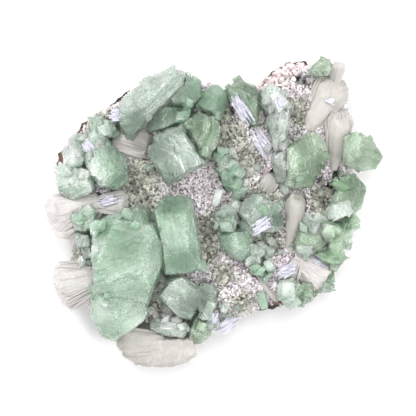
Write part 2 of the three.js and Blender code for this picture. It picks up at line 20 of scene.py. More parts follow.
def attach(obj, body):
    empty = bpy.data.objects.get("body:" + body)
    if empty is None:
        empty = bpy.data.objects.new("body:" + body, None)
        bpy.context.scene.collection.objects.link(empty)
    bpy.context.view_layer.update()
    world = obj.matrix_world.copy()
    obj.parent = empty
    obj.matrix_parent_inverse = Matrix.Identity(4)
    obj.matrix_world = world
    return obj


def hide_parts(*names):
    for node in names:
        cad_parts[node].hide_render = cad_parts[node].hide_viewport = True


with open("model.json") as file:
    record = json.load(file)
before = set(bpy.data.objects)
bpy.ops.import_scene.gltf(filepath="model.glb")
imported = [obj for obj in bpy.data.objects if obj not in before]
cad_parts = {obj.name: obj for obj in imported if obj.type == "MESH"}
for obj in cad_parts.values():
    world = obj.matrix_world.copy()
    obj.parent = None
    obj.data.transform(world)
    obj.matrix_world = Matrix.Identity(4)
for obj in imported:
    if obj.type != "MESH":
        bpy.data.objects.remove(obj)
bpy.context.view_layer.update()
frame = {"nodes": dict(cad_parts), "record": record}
MM = 0.001
NODES = sorted(frame["nodes"])
APOPHYLLITES = [name for name in NODES if name.startswith("apophyllite")]
STILBITES = [name for name in NODES if name.startswith("stilbite")]
random = np.random.default_rng(11)

# %% [markdown]
# ## Handling meshes
# A node of the frame is never changed. Each piece starts as a duplicate of one: its loose triangles
# are merged, and the flat faces that they make up are dissolved into one face each, so that a bevel
# runs along real edges only.

# %% Picking, copying, applying
MERGE_DISTANCE = 0.01 * MM
FLAT_ANGLE = math.radians(0.6)


def pick(piece):
    """Leaves only this object selected and active."""
    bpy.ops.object.select_all(action="DESELECT")
    piece.select_set(True)
    bpy.context.view_layer.objects.active = piece


def copy_of(node, name):
    """A merged copy of a CAD node, with one face for each flat side."""
    pick(frame["nodes"][node])
    bpy.ops.object.duplicate()
    piece = bpy.context.active_object
    piece.name = name
    piece.data.name = name
    bpy.ops.object.mode_set(mode="EDIT")
    bpy.ops.mesh.select_all(action="SELECT")
    bpy.ops.mesh.remove_doubles(threshold=MERGE_DISTANCE)
    bpy.ops.mesh.dissolve_limited(angle_limit=FLAT_ANGLE)
    bpy.ops.object.mode_set(mode="OBJECT")
    bpy.ops.mesh.customdata_custom_splitnormals_clear()
    return piece


def apply_modifier(piece, kind, **settings):
    """Adds a modifier, sets it and applies it."""
    pick(piece)
    modifier = piece.modifiers.new(kind.title(), kind)
    for key, value in settings.items():
        setattr(modifier, key, value)
    bpy.ops.object.modifier_apply(modifier=modifier.name)


def smooth(piece, degrees):
    """Shades a piece smooth, apart from the edges that are sharper than this."""
    pick(piece)
    bpy.ops.object.shade_smooth_by_angle(angle=math.radians(degrees))

# %% Points as arrays
def points_of(piece):
    """The vertices as an array, a row each."""
    flat = np.empty(len(piece.data.vertices) * 3)
    piece.data.vertices.foreach_get("co", flat)
    return flat.reshape(-1, 3)


def normals_of(piece):
    """The vertex normals as an array, a row each."""
    flat = np.empty(len(piece.data.vertices) * 3)
    piece.data.vertex_normals.foreach_get("vector", flat)
    return flat.reshape(-1, 3)


def place_points(piece, points):
    """Moves the vertices to these places."""
    piece.data.vertices.foreach_set("co", points.ravel())
    piece.data.update()

# %% [markdown]
# A surface can only be roughened where it has points to move, so its triangles have to be small.
# Blender's own Subdivide cuts short sides as well as long ones, and it may number the new points
# differently from run to run, which would change every scattering that follows. So the long sides
# are cut here, on arrays and in an order that never changes, until none is left. A triangle becomes
# two, three or four, by how many of its sides are cut, and its neighbour is cut at the same points.

# %% Refining
def cut_triangles(points, faces, middles):
    """Cuts each triangle at the new middles of its sides, where -1 stands for a side left whole."""
    cuts = (middles >= 0).sum(axis=1)
    first = np.where(cuts == 1, np.argmax(middles >= 0, axis=1), (np.argmin(middles, axis=1) + 1) % 3)
    order = (first[:, None] + np.arange(3)) % 3
    a, b, c = np.take_along_axis(faces, order, axis=1).T
    ab, bc, ca = np.take_along_axis(middles, order, axis=1).T
    one_way = np.linalg.norm(points[a] - points[bc], axis=1)
    other_way = np.linalg.norm(points[ab] - points[c], axis=1)
    shorter = one_way < other_way
    one, two, three = cuts == 1, cuts == 2, cuts == 3
    pieces = [(cuts == 0, a, b, c), (one, a, ab, c), (one, ab, b, c), (cuts >= 2, ab, b, bc),
              (two & shorter, a, ab, bc), (two & shorter, a, bc, c),
              (two & ~shorter, a, ab, c), (two & ~shorter, ab, bc, c),
              (three, a, ab, ca), (three, ca, bc, c), (three, ab, bc, ca)]
    return np.vstack([np.column_stack(corners)[chosen] for chosen, *corners in pieces])


def refine(piece, longest, rounds=7):
    """Cuts triangles at the middles of their long sides, until no side is longer than a limit."""
    apply_modifier(piece, "TRIANGULATE")
    points = points_of(piece)
    faces = np.array([list(polygon.vertices) for polygon in piece.data.polygons])
    for _ in range(rounds):
        sides = np.sort(faces[:, [[0, 1], [1, 2], [2, 0]]].reshape(-1, 2), axis=1)
        pairs, number = np.unique(sides, axis=0, return_inverse=True)
        is_long = np.linalg.norm(points[pairs[:, 0]] - points[pairs[:, 1]], axis=1) > longest
        if not is_long.any():
            break
        middles = np.where(is_long, len(points) + np.cumsum(is_long) - 1, -1)
        points = np.vstack([points, points[pairs[is_long]].mean(axis=1)])
        faces = cut_triangles(points, faces, middles[number.reshape(-1, 3)])
    piece.data.clear_geometry()
    piece.data.from_pydata(points, [], faces.tolist())
    print(piece.name, "has", len(faces), "triangles")

# %% Marks and noise
def paint(mesh, name, values):
    """Stores one number for each vertex, for a material to read."""
    layer = mesh.attributes.new(name, "FLOAT", "POINT")
    layer.data.foreach_set("value", np.asarray(values, dtype=np.float32))


def cloud(points, size, seed):
    """Smooth noise from -1 to 1 at each point, with lumps of about the given size."""
    shift = Vector((seed * 3.17, seed * 1.31, -seed * 2.23))
    return np.array([noise.noise(Vector(p) / size + shift) for p in points])

# %% [markdown]
# ## Writing materials as sums
# A material's pattern is easier to read as a formula than as a web of nodes. `Wire` holds one socket,
# and adding or multiplying wires adds Math nodes. Every other node comes from `Recipe.add`.

# %% Wires
class Wire:
    """One output socket, usable in sums."""

    def __init__(self, recipe, socket):
        self.recipe = recipe
        self.socket = socket

    def math(self, operation, *others, clamp=False):
        return self.recipe.add("Math", {"operation": operation, "use_clamp": clamp},
                               dict(enumerate((self, *others))))

    def __add__(self, other):
        return self.math("ADD", other)

    def __radd__(self, other):
        return self.math("ADD", other)

    def __sub__(self, other):
        return self.math("SUBTRACT", other)

    def __rsub__(self, other):
        return self.recipe.add("Math", {"operation": "SUBTRACT"}, {0: other, 1: self})

    def __mul__(self, other):
        return self.math("MULTIPLY", other)

    def __rmul__(self, other):
        return self.math("MULTIPLY", other)

    def clamped(self):
        return self.math("ADD", 0.0, clamp=True)

# %% Recipes
class Recipe:
    """A material in the making."""

    def __init__(self, name):
        self.material = bpy.data.materials.new(name)
        self.material.use_nodes = True
        self.tree = self.material.node_tree
        self.tree.nodes.clear()

    def add(self, kind, settings=None, sockets=None, output=0):
        """A node of a kind: its settings first, then the values or wires of its sockets."""
        node = self.tree.nodes.new("ShaderNode" + kind)
        for key, value in (settings or {}).items():
            if key == "stops":
                while len(node.color_ramp.elements) < len(value):
                    node.color_ramp.elements.new(0.5)
                for element, (position, colour) in zip(node.color_ramp.elements, value):
                    element.position = position
                    element.color = colour
            else:
                setattr(node, key, value)
        for key, value in (sockets or {}).items():
            if isinstance(value, Wire):
                self.tree.links.new(value.socket, node.inputs[key])
            else:
                node.inputs[key].default_value = value
        return Wire(self, node.outputs[output])

    def place(self, turn=(0, 0, 0)):
        """Object coordinates, turned."""
        where = self.add("TexCoord", output="Object")
        return self.add("Mapping", None, {"Vector": where, "Rotation": turn})

    def lumps(self, size, detail=3.0, roughness=0.55, distortion=0.0):
        """Noise from 0 to 1 with lumps of about the given size in metres."""
        return self.add("TexNoise", None, {"Vector": self.place(), "Scale": 1 / size,
                                           "Detail": detail, "Roughness": roughness,
                                           "Distortion": distortion})

    def ramp(self, value, *stops):
        """A value turned into another through stops of (position, level)."""
        greys = [(position, (level, level, level, 1)) for position, level in stops]
        return self.add("ValToRGB", {"stops": greys}, {"Fac": value})

    def mix(self, factor, one, other):
        """A colour between two."""
        return self.add("Mix", {"data_type": "RGBA"}, {0: factor, 6: one, 7: other}, output=2)

    def facets(self, where, scale):
        """A height made of small planes, each tilted its own way, like a broken surface."""
        tilt = self.add("TexVoronoi", None, {"Vector": where, "Scale": scale}, output="Color")
        middle = Wire(self, tilt.socket.node.outputs["Position"])
        away = self.add("VectorMath", {"operation": "SUBTRACT"}, {0: where, 1: middle})
        lean = self.add("VectorMath", {"operation": "SUBTRACT"}, {0: tilt, 1: (0.5, 0.5, 0.5)})
        rise = self.add("VectorMath", {"operation": "DOT_PRODUCT"}, {0: away, 1: lean}, output="Value")
        return rise * scale

    def attribute(self, name):
        """A number that was painted on the mesh."""
        return self.add("Attribute", {"attribute_name": name}, output="Fac")

    def bump(self, height, depth, strength=1.0):
        """A normal that is roughened by a height in units of the given depth."""
        return self.add("Bump", None, {"Height": height, "Distance": depth, "Strength": strength})

    def finish(self, surface, volume=None):
        """Joins the shaders to the output and hands over the material."""
        links = {"Surface": surface}
        if volume:
            links["Volume"] = volume
        node = self.tree.nodes.new("ShaderNodeOutputMaterial")
        for key, wire in links.items():
            self.tree.links.new(wire.socket, node.inputs[key])
        return self.material

# %% Colours
def colour(red, green, blue):
    """A colour from screen values of 0 to 255, as the linear light that shaders use."""
    return tuple((c / 255 / 12.92) if c < 10.3 else ((c / 255 + 0.055) / 1.055) ** 2.4
                 for c in (red, green, blue)) + (1.0,)

# %% [markdown]
# ## The apophyllite
# Real apophyllite is clear, but milky with tiny fluid veils, so light both passes through and is
# scattered. One Principled shader is clear glass with the mineral's refractive index, a second is the
# milk, and a mask mixes them. The clear glass is tinted by absorption inside it, so a thick crystal
# is greener than a thin one. The veils are long thin streaks, drawn in coordinates that run along
# each crystal. Three sums say how green, how white and how milky each place is, from 0 to 1.

# %% Apophyllite materials
APOPHYLLITE_IOR = 1.535
MILK_DEPTH = 7 * MM
BREAK_DEPTH = 0.35 * MM


def apophyllite(name, tint, green, milk, absorb, density):
    """A clear and milky green crystal; the absorption colour and density are those of the clear part."""
    recipe = Recipe(name)
    rim = recipe.attribute("rim")
    frost = recipe.attribute("frost")
    tone = recipe.attribute("tone")
    dense = recipe.attribute("dense")
    lines = recipe.add("UVMap", {"uv_map": "lines"})
    fine = recipe.add("Mapping", None, {"Vector": lines, "Scale": (0.1, 1.0, 1.0)})
    wide = recipe.add("Mapping", None, {"Vector": lines, "Scale": (0.12, 0.35, 1.0)})
    streak = recipe.add("TexNoise", None, {"Vector": fine, "Scale": 1.0, "Detail": 4.0,
                                           "Roughness": 0.6, "Distortion": 0.6})
    band = recipe.add("TexNoise", None, {"Vector": wide, "Scale": 1.0, "Detail": 5.0, "Roughness": 0.7})
    broken = recipe.add("Mapping", None, {"Vector": recipe.place(turn=(0.4, 0.3, 0.8)),
                                          "Scale": (1.0, 1.6, 1.3)})
    planes = recipe.facets(broken, 1 / (2.6 * MM)) * 1.0 + recipe.facets(broken, 1 / (1.1 * MM)) * 0.45
    body = recipe.lumps(8 * MM, detail=5.0, roughness=0.6)
    mottle = recipe.lumps(1.8 * MM, detail=5.0, roughness=0.7, distortion=0.8)
    speck = recipe.lumps(0.7 * MM, detail=2.0, roughness=0.6)
    crack = recipe.lumps(6 * MM, detail=3.0, roughness=0.5, distortion=1.2)
    veins = recipe.ramp((crack - 0.5).math("ABSOLUTE"), (0.0, 1.0), (0.022, 0.0))
    edge = recipe.ramp(rim, (0.0, 1.0), (0.3, 0.0))
    fray = recipe.ramp(rim, (0.05, 1.0), (0.7, 0.0))
    bright_lines = recipe.ramp(streak, (0.56, 0.0), (0.68, 1.0))
    # `tone` also carries painted light: in a few shaded gaps it makes the crystal whiter and milkier.
    greener = (0.43 + (body - 0.5) * 1.0 + (mottle - 0.5) * 1.2 - tone * 0.5).clamped()
    whiter = (0.1 + tone * 0.55 + (band - 0.5) * 1.2 * frost + bright_lines * frost * 0.6
              + (mottle - 0.5) * 0.7 + (speck - 0.5) * (fray * 1.5 + 0.6)
              + veins * 0.12 + edge * 0.1).clamped()
    shown = recipe.mix(whiter, recipe.mix(greener, tint, green), milk)
    milky = (0.38 + dense * 0.3 + whiter * 0.5 + tone * 0.15 + (body - 0.5) * 0.5).clamped()
    broken_height = planes + mottle * 0.4 + speck * (fray * 0.5 + 0.2) + streak * frost
    normal = recipe.bump(broken_height, BREAK_DEPTH, 0.65)
    rough = recipe.ramp(mottle, (0.35, 0.03), (0.7, 0.16))
    clear = recipe.add("BsdfPrincipled", None, {
        "Base Color": (0.95, 1.0, 0.97, 1.0), "Roughness": rough, "IOR": APOPHYLLITE_IOR,
        "Transmission Weight": 1.0, "Normal": normal}, output="BSDF")
    cloudy = recipe.add("BsdfPrincipled", None, {
        "Base Color": shown, "Roughness": rough, "IOR": APOPHYLLITE_IOR,
        "Subsurface Weight": 1.0, "Subsurface Radius": (0.8, 1.0, 0.88), "Subsurface Scale": MILK_DEPTH,
        "Normal": normal}, output="BSDF")
    surface = recipe.add("MixShader", None, {0: milky, 1: clear, 2: cloudy})
    volume = recipe.add("VolumeAbsorption", None, {"Color": absorb, "Density": density})
    return recipe.finish(surface, volume)

# %% Its three finishes
CRYSTAL_FINISH = {
    "apophyllite_mint": apophyllite("mint_apophyllite", colour(202, 226, 206), colour(154, 197, 162),
                                    colour(236, 242, 236), colour(186, 222, 191), 10.0),
    "apophyllite_pale": apophyllite("pale_apophyllite", colour(210, 224, 213), colour(176, 202, 182),
                                    colour(240, 243, 240), colour(208, 227, 212), 6.0),
    "apophyllite_deep": apophyllite("deep_apophyllite", colour(193, 215, 188), colour(143, 180, 140),
                                    colour(230, 240, 226), colour(179, 213, 175), 12.0),
}
print("apophyllite in", len(CRYSTAL_FINISH), "finishes")

# %% [markdown]
# ## The crystal blocks
# A cut solid's faces are perfect planes, and a natural crystal's are not: its edges are worn, its end
# face has grown in steps, and its sides are lined along its length. The edges get a fine bevel, the
# mesh is refined, and its points are then moved a little along their normals: by a mosaic of oblong
# plateaus, by lines, by broken facets and by slight unevenness, and it is chipped along the edges.
# Each point also stores what the material reads there: `rim`, how far it is from an edge, `frost`,
# how veiled the block is, and `tone`, how clear or milky the place is, which in a few shaded gaps
# between blocks is painted light that lifts them towards milk.

# %% Habits of the single blocks
# The direction of a block's lines in plan in degrees, their height in millimetres, and its veils.
HABITS = {
    "apophyllite_great_cluster": (18, 0.10, 0.30), "apophyllite_tall_block": (104, 0.12, 0.45),
    "apophyllite_lower_cube": (150, 0.12, 0.70), "apophyllite_pale_cube": (122, 0.14, 1.00),
    "apophyllite_fractured_block": (74, 0.35, 1.00), "apophyllite_striated_block": (46, 0.45, 0.90),
    "apophyllite_upper_green_block": (60, 0.10, 0.10), "apophyllite_top_round": (80, 0.08, 0.10),
    "apophyllite_right_centre": (75, 0.15, 0.55), "apophyllite_right_edge_upper": (-50, 0.12, 0.40),
    "apophyllite_right_edge_lower": (60, 0.15, 0.40), "apophyllite_centre_egg": (120, 0.08, 0.15),
    "apophyllite_centre_wedge": (40, 0.20, 0.80), "apophyllite_pale_column": (80, 0.20, 0.80),
    "apophyllite_grey_flank": (100, 0.25, 0.80), "apophyllite_dark_top": (-58, 0.20, 0.45),
    "apophyllite_left_olive_block": (66, 0.25, 0.70), "apophyllite_left_round": (70, 0.10, 0.80),
    "apophyllite_bottom_frosted": (10, 0.30, 1.00), "apophyllite_pearly_tablet": (50, 0.30, 1.00),
}
USUAL_HABIT = (75, 0.15, 0.6)
print(len(HABITS), "of", len(APOPHYLLITES), "blocks have a habit of their own")

# %% Clearer and cloudier places, and painted light in shaded gaps
# Each place: x, y, radius (millimetres) and tone, from -1 for clear green to 1 for milk.
TONES_AND_PAINTED_LIGHT = [
    (-31.8, 56, 6, 0.2), (-22.7, 61, 5, 0.3), (-37, 48, 5, 0.2), (-21.6, 48.4, 3.5, 0.5),
    (-34.3, 40.3, 3.5, -0.9), (-37.8, 35.3, 4, -0.8), (-11.6, 52, 8, -0.2), (-3, 48, 8, -0.5),
    (-20, 41.4, 6, -0.3), (-26, 38.3, 4, 0.1), (-9, 36, 6, -0.5), (-1, 30, 3, 0.5), (-3, 38, 3, 0.2),
    (-26.2, 26.8, 5, -0.6), (-15, 25, 7, 0.15), (-12.5, 32, 5, 0.3), (-20, 15, 4, -0.7),
    (-42.4, 16, 5, -0.25), (-45, 25, 4, -0.2), (-52, 18, 6, 0.8), (-52, 28, 4, 0.3),
    (-63.6, 24.7, 5, 0.7), (-64.6, 14, 6, 0.8), (-18, 3, 5, -0.8), (-19, -5, 5, 0.15),
    (-14, -13, 5, 0.2), (-14, -21, 5, -0.7), (-22, 1, 4, -0.6), (-48, -6, 5, -0.1),
    (-39, -14, 8, -0.4), (-32, -7, 6, 0.2), (-51.4, -16, 4, 0.5), (-30, -26, 6, 0.3),
    (-42, -29, 5, 0.3), (-20.5, -21, 3, -0.3), (-38.3, -41, 6, 0.2), (-50, -44, 5, 0.6),
    # (-34, -50.5) is painted light in the shaded gap between the great cluster and the bottom shell.
    (-34, -50.5, 6, 0.7), (-34, -2, 5, -0.3), (-25, -31, 5, -0.2), (-16, -35, 5, 0.3),
    (-10, -41, 5, -0.8), (-6, -36, 4, -0.5), (45.2, 18, 5, -1.0), (31.5, 23, 5, 0.7),
    (44.6, 31.4, 5, 0.3), (37, 28, 5, -0.5), (24.9, 49, 6, 0.5), (28.2, 40, 6, 0.5),
    (28.2, 28, 4, 0.8), (11.2, 56.6, 5, -0.9), (16.2, 52.8, 5, -1.0), (61.6, 31.4, 5, 0.0),
    (70, 25, 4, -0.8), (64, 22, 4, -0.6), (62.7, 9, 6, -0.9), (57, 3, 5, 0.3),
    (8.9, -14.5, 6, 0.15), (6, -1, 7, -0.1), (20, 3, 6, 0.05), (24, -6, 5, 0.1), (28, -4, 3, -0.8),
    (22, -25, 5, 0.15), (50, -12, 8, 0.6), (52.4, -22, 5, -0.5), (50.4, -34, 4, -0.4),
    # (-54, 9) is painted light in the shaded gap between the left blocks and the bow tie.
    (30.4, -32.7, 4, 0.8), (-20, -49, 6, 0.5), (6.4, 14, 4, -0.3), (-55, -1, 6, 0.4), (-54, 9, 5, 0.8),
]
print(len(TONES_AND_PAINTED_LIGHT), "places are clearer or cloudier than the rest")


def tones_and_painted_light_at(points):
    """The sum of the nearby places' tones."""
    total = np.zeros(len(points))
    for x, y, radius, tone in TONES_AND_PAINTED_LIGHT:
        off = np.hypot(points[:, 0] / MM - x, points[:, 1] / MM - y)
        total += tone * np.exp(-(off / radius) ** 2)
    return np.clip(total, -1, 1)

# %% Edges
SHARP_ANGLE = math.radians(14)


def sharp_edges(piece):
    """Both ends of every edge between two faces that meet at an angle."""
    mesh = bmesh.new()
    mesh.from_mesh(piece.data)
    found = [(list(edge.verts[0].co), list(edge.verts[1].co)) for edge in mesh.edges
             if len(edge.link_faces) == 2 and edge.calc_face_angle() > SHARP_ANGLE]
    mesh.free()
    return np.array(found)


def distance_to(edges, points):
    """Distance from each point to the nearest of the edges."""
    nearest = np.full(len(points), 1.0)
    for start, end in edges:
        along = end - start
        share = np.clip((points - start) @ along / (along @ along), 0, 1)
        nearest = np.minimum(nearest, np.linalg.norm(points - start - share[:, None] * along, axis=1))
    return nearest

# %% Lines, plateaus and facets
def line_axes(turn):
    """Unit vectors along and across the lines of a block whose lines run this way in plan."""
    angle = math.radians(turn)
    along = np.array([math.cos(angle), math.sin(angle), 0])
    across = np.array([-math.sin(angle), math.cos(angle), 0.6])
    return along, across / np.linalg.norm(across)


def mosaic(points, along, across, length, width, seed):
    """A level from -1 to 1 for each oblong cell that the points lie in."""
    u, v, w = points @ along / length, points @ across / width, points[:, 2] / length
    wobble = 0.25 * np.sin(v * 2.1 + seed)
    cells = np.column_stack([np.floor(u + wobble), np.floor(v), np.floor(w)]) + seed * 17.3
    return np.array([noise.cell(Vector(cell)) for cell in cells]) * 2 - 1


def facet_rise(points, along, across, size, seed):
    """A height for each point, as if each patch of the surface were a plane tilted its own way."""
    local = np.column_stack([points @ along / 1.7, points @ across, points @ np.cross(along, across)])
    rise = np.empty(len(points))
    for i, place in enumerate(local / size + seed * 5.3):
        middle = noise.voronoi(Vector(place))[1][0]
        tilt = noise.cell_vector(middle * 9.7) - Vector((0.5, 0.5, 0.5))
        rise[i] = (Vector(place) - middle).dot(tilt)
    return rise * size

# %% Growing the surfaces
SWELL = 0.16 * MM
CHIP_DEPTH = 1.1 * MM
LINE_GAP = 1.5 * MM
PLATEAUS = ((9 * MM, 4 * MM, 1.0), (4 * MM, 2 * MM, 0.6))
FACET_SIZES = (6 * MM, 3 * MM)
UNEVENNESS = 0.06 * MM


def grow(piece, turn, line_height, frost, rim, seed):
    """Broken facets, plateaus, lines along the block, and chips along the edges."""
    points, normals = points_of(piece), normals_of(piece)
    along, across = line_axes(turn)
    squeezed = np.stack([points @ along * 0.06, points @ across, np.zeros(len(points))], axis=1)
    lines = np.round(cloud(squeezed, LINE_GAP, seed) * 3) / 3
    plateaus = sum(share * mosaic(points, along, across, length, width, seed + 50 * number)
                   for number, (length, width, share) in enumerate(PLATEAUS))
    height = lines * line_height * MM + plateaus * line_height * 0.7 * MM
    height += cloud(points, 2.2 * MM, seed + 3) * UNEVENNESS + SWELL
    broken = sum(facet_rise(points, along, across, size, seed + 9 * number)
                 for number, size in enumerate(FACET_SIZES))
    height += broken * (0.08 + 0.2 * frost)
    chips = cloud(points, 2.6 * MM, seed + 7) + 0.6 * cloud(points, 1.1 * MM, seed + 8)
    height -= np.clip(chips - 0.12, 0, 1) * np.clip(1 - rim * 3.5, 0, 1) * CHIP_DEPTH
    place_points(piece, points + normals * height[:, None])

# %% Coordinates and dressing
def store_lines(piece, turn):
    """Coordinates in millimetres along and across the lines, as a UV map."""
    along, across = line_axes(turn)
    points = points_of(piece) / MM
    flat = np.stack([points @ along, points @ across], axis=1)
    corners = np.empty(len(piece.data.loops), dtype=int)
    piece.data.loops.foreach_get("vertex_index", corners)
    layer = piece.data.uv_layers.new(name="lines")
    layer.data.foreach_set("uv", flat[corners].ravel())


def dress(piece, material):
    """Gives a piece its material and its place in the model."""
    piece.data.materials.clear()
    piece.data.materials.append(material)
    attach(piece, "root")

# %% The blocks
SLOT_OF = {part["node"]: part["material_slot"] for part in frame["record"]["subparts"]}
EDGE_WEAR = 0.2 * MM
RIM_WIDTH = 4.0 * MM
CRYSTAL_DETAIL = 1.1 * MM
CRYSTAL_SMOOTH = 20
crystals = []
EDGES_OF = {}
for seed, node in enumerate(APOPHYLLITES):
    turn, line_height, frost = HABITS.get(node, USUAL_HABIT)
    crystal = copy_of(node, node.replace("apophyllite", "crystal"))
    edges = sharp_edges(crystal)
    EDGES_OF[crystal.name] = edges
    apply_modifier(crystal, "BEVEL", width=EDGE_WEAR, segments=2, limit_method="ANGLE",
                   angle_limit=math.radians(8), use_clamp_overlap=True)
    refine(crystal, CRYSTAL_DETAIL)
    count = len(crystal.data.vertices)
    rim = np.clip(distance_to(edges, points_of(crystal)) / RIM_WIDTH, 0, 1)
    paint(crystal.data, "rim", rim)
    paint(crystal.data, "frost", np.full(count, frost))
    paint(crystal.data, "tone", tones_and_painted_light_at(points_of(crystal)))
    store_lines(crystal, turn)
    grow(crystal, turn, line_height, frost, rim, seed)
    smooth(crystal, CRYSTAL_SMOOTH)
    dress(crystal, CRYSTAL_FINISH[SLOT_OF[node]])
    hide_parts(node)
    crystals.append(crystal)
print(len(crystals), "crystal pieces,", sum(len(c.data.polygons) for c in crystals), "triangles")

# %% [markdown]
# ## The druse
# The crust is a rough skin, and what shows of it is thousands of heulandite crystals of a millimetre
# or so, standing on it in all directions. On the slopes they are fine and pinkish white. In the
# valleys they are coarser and olive, and both they and the skin between them are darker there as
# painted shade. Everywhere the skin between the grains is darker than the grains, as painted shade
# in the gaps, and open pits in the crust are painted darker still as shade.
# Under the green crystals the skin is painted white as painted light: a clear crystal shows what it
# stands on, and the shade under it would show through.

# %% Zones of the druse
# Patches of x, y and radius, and pits of x, y, length, width and turn (millimetres and degrees).
# The olive patches lie in the valleys, where the druse is olive and darker as painted shade.
OLIVE_AND_SHADE = [(-35, 14, 11), (-33, 4, 8), (-3, -8, 5), (-3, -18, 5), (1, 40, 8), (3, 30, 7), (9, 35, 5),
         (22, 8, 7), (-25, -44, 8), (50, 3, 7), (49, -6, 5), (-52, 41, 6), (14, 22, 7), (-61, -22, 5),
         (38, 44, 6), (23, -14, 7), (55, 30, 7), (-20, -32, 6), (-47, 34, 5), (12, -40, 5), (4, -28, 5)]
WORN = [(-43, 53, 6), (-50, 47, 5), (-61, 40, 7), (-71, 25, 6), (20, 58, 4), (25, 61.5, 3),
        (30, 64.5, 3), (35, 67, 3), (41, 67, 3.5), (25, -44, 6), (-14, -59, 4), (46, -38, 4),
        (-66, -19, 5), (-57, -46, 3)]
PITS = [(38, 58.2, 9.5, 3, -30), (53.5, 16.5, 8.5, 3.2, 80), (50.5, 11, 3.2, 2.8, 0),
        (46.5, 14.2, 2.6, 2.2, 60), (12, 4, 5.6, 2.8, -25), (6.9, 45.7, 2.6, 2, 60),
        (25.5, 32.5, 1.8, 1.6, 0), (-2.5, -50.5, 2.4, 1.6, 20), (26, -43, 12, 2.6, 6)]
# Steep places where the druse is coarse and pink.
COARSE = [(21, 56, 5), (27, 60, 5), (32, 64, 5), (38, 67, 4)]
print(len(OLIVE_AND_SHADE), "olive patches,", len(WORN), "worn,", len(COARSE), "coarse, and", len(PITS), "pits")

# %% Inside or outside a zone
def zone(points, patches):
    """From 0 outside round patches to 1 in their middles."""
    total = np.zeros(len(points))
    for x, y, radius in patches:
        off = np.hypot(points[:, 0] / MM - x, points[:, 1] / MM - y)
        total = np.maximum(total, np.exp(-(off / radius) ** 2))
    return total


def olive_and_shade_share(points):
    """How olive the druse is, and how much painted shade darkens it: patches with uneven edges."""
    return np.clip(zone(points, OLIVE_AND_SHADE) + 0.3 * cloud(points, 8 * MM, 60) + 0.08, 0, 1)


def wear(points):
    """How bare the crust is: patches with ragged edges."""
    patches = zone(points, WORN)
    ragged = 0.5 * cloud(points, 5 * MM, 70) + 0.4 * cloud(points, 2 * MM, 71)
    return np.clip((patches + ragged - 0.28) * 2.5, 0, 1) * (patches > 0.05)


def pit_depth(points):
    """1 in the middle of a pit, falling through 0 at its edge."""
    depth = np.full(len(points), -9.0)
    for x, y, length, width, turn in PITS:
        angle = math.radians(turn)
        dx, dy = points[:, 0] / MM - x, points[:, 1] / MM - y
        u = (dx * math.cos(angle) + dy * math.sin(angle)) / (length / 2)
        v = (dy * math.cos(angle) - dx * math.sin(angle)) / (width / 2)
        depth = np.maximum(depth, 1 - np.hypot(u, v))
    return depth + 0.5 * cloud(points, 1.5 * MM, 40)

# %% Druse materials
def druse_material():
    """The grains: `light`, `lilac` and `rosy` say how bright and which colour each one is."""
    recipe = Recipe("heulandite_druse")
    light = recipe.attribute("light")
    lilac = recipe.attribute("lilac")
    fine = recipe.lumps(0.5 * MM, detail=3.0)
    # `shaded` is the olive grains' colour, dark partly as painted shade in the valleys.
    shaded = recipe.mix(light, colour(76, 76, 58), colour(190, 190, 173))
    pink = recipe.mix(light, colour(142, 122, 134), colour(255, 246, 255))
    rosy = recipe.mix(light, colour(104, 76, 66), colour(222, 192, 186))
    base = recipe.mix(recipe.attribute("rosy"), recipe.mix(lilac, shaded, pink), rosy)
    lively = recipe.mix(recipe.ramp(fine, (0.35, 0.0), (0.7, 0.4)), base, colour(250, 248, 248))
    shader = recipe.add("BsdfPrincipled", None, {
        "Base Color": lively, "Roughness": recipe.ramp(fine, (0.3, 0.15), (0.7, 0.45)),
        "IOR": 1.5, "Subsurface Weight": 0.3, "Subsurface Radius": (1.0, 0.9, 0.9),
        "Subsurface Scale": 0.6 * MM, "Normal": recipe.bump(fine, 0.08 * MM, 0.4)}, output="BSDF")
    return recipe.finish(shader)


def crust_material():
    """The skin between the grains, darker than them as painted shade in the gaps: pale, olive, bare rock,
    darker still in the pits as painted shade, or white under a crystal as painted light.
    """
    recipe = Recipe("crust_ground")
    lumps = recipe.lumps(1.2 * MM, detail=5.0, roughness=0.7)
    grain = recipe.ramp(lumps, (0.35, 0.0), (0.65, 1.0))
    # The pale and olive skin is darker than the grains: painted shade in the gaps between them.
    pale = recipe.mix(grain, colour(92, 80, 80), colour(172, 160, 162))
    olive = recipe.mix(grain, colour(36, 34, 26), colour(88, 86, 68))
    rock = recipe.mix(grain, colour(40, 30, 24), colour(120, 84, 62))
    ground = recipe.mix(recipe.attribute("olive"), pale, olive)
    bare = recipe.mix(recipe.attribute("worn"), ground, rock)
    # The pits are painted near black: painted shade in the hollows.
    pit_shaded = recipe.mix(recipe.attribute("pit"), bare, colour(52, 47, 40))
    # Under the crystals the skin is painted white: painted light in place of the shade there.
    base = recipe.mix(recipe.attribute("root"), pit_shaded, colour(228, 238, 230))
    shader = recipe.add("BsdfPrincipled", None, {
        "Base Color": base, "Roughness": 0.7, "Normal": recipe.bump(lumps, 0.5 * MM, 0.8)}, output="BSDF")
    return recipe.finish(shader)


DRUSE = druse_material()
CRUST_GROUND = crust_material()

# %% The skin of the crust
CRUST_DETAIL = 1.9 * MM
CRUST_ROUGHNESS = 0.35 * MM
crust = copy_of("heulandite_crust", "crust_skin")
refine(crust, CRUST_DETAIL)
skin_points = points_of(crust)
rise = cloud(skin_points, 4 * MM, 3) * CRUST_ROUGHNESS
place_points(crust, skin_points + normals_of(crust) * rise[:, None])
# `olive` marks the valleys, whose skin is also darker as painted shade.
paint(crust.data, "olive", olive_and_shade_share(skin_points))
paint(crust.data, "worn", wear(skin_points))
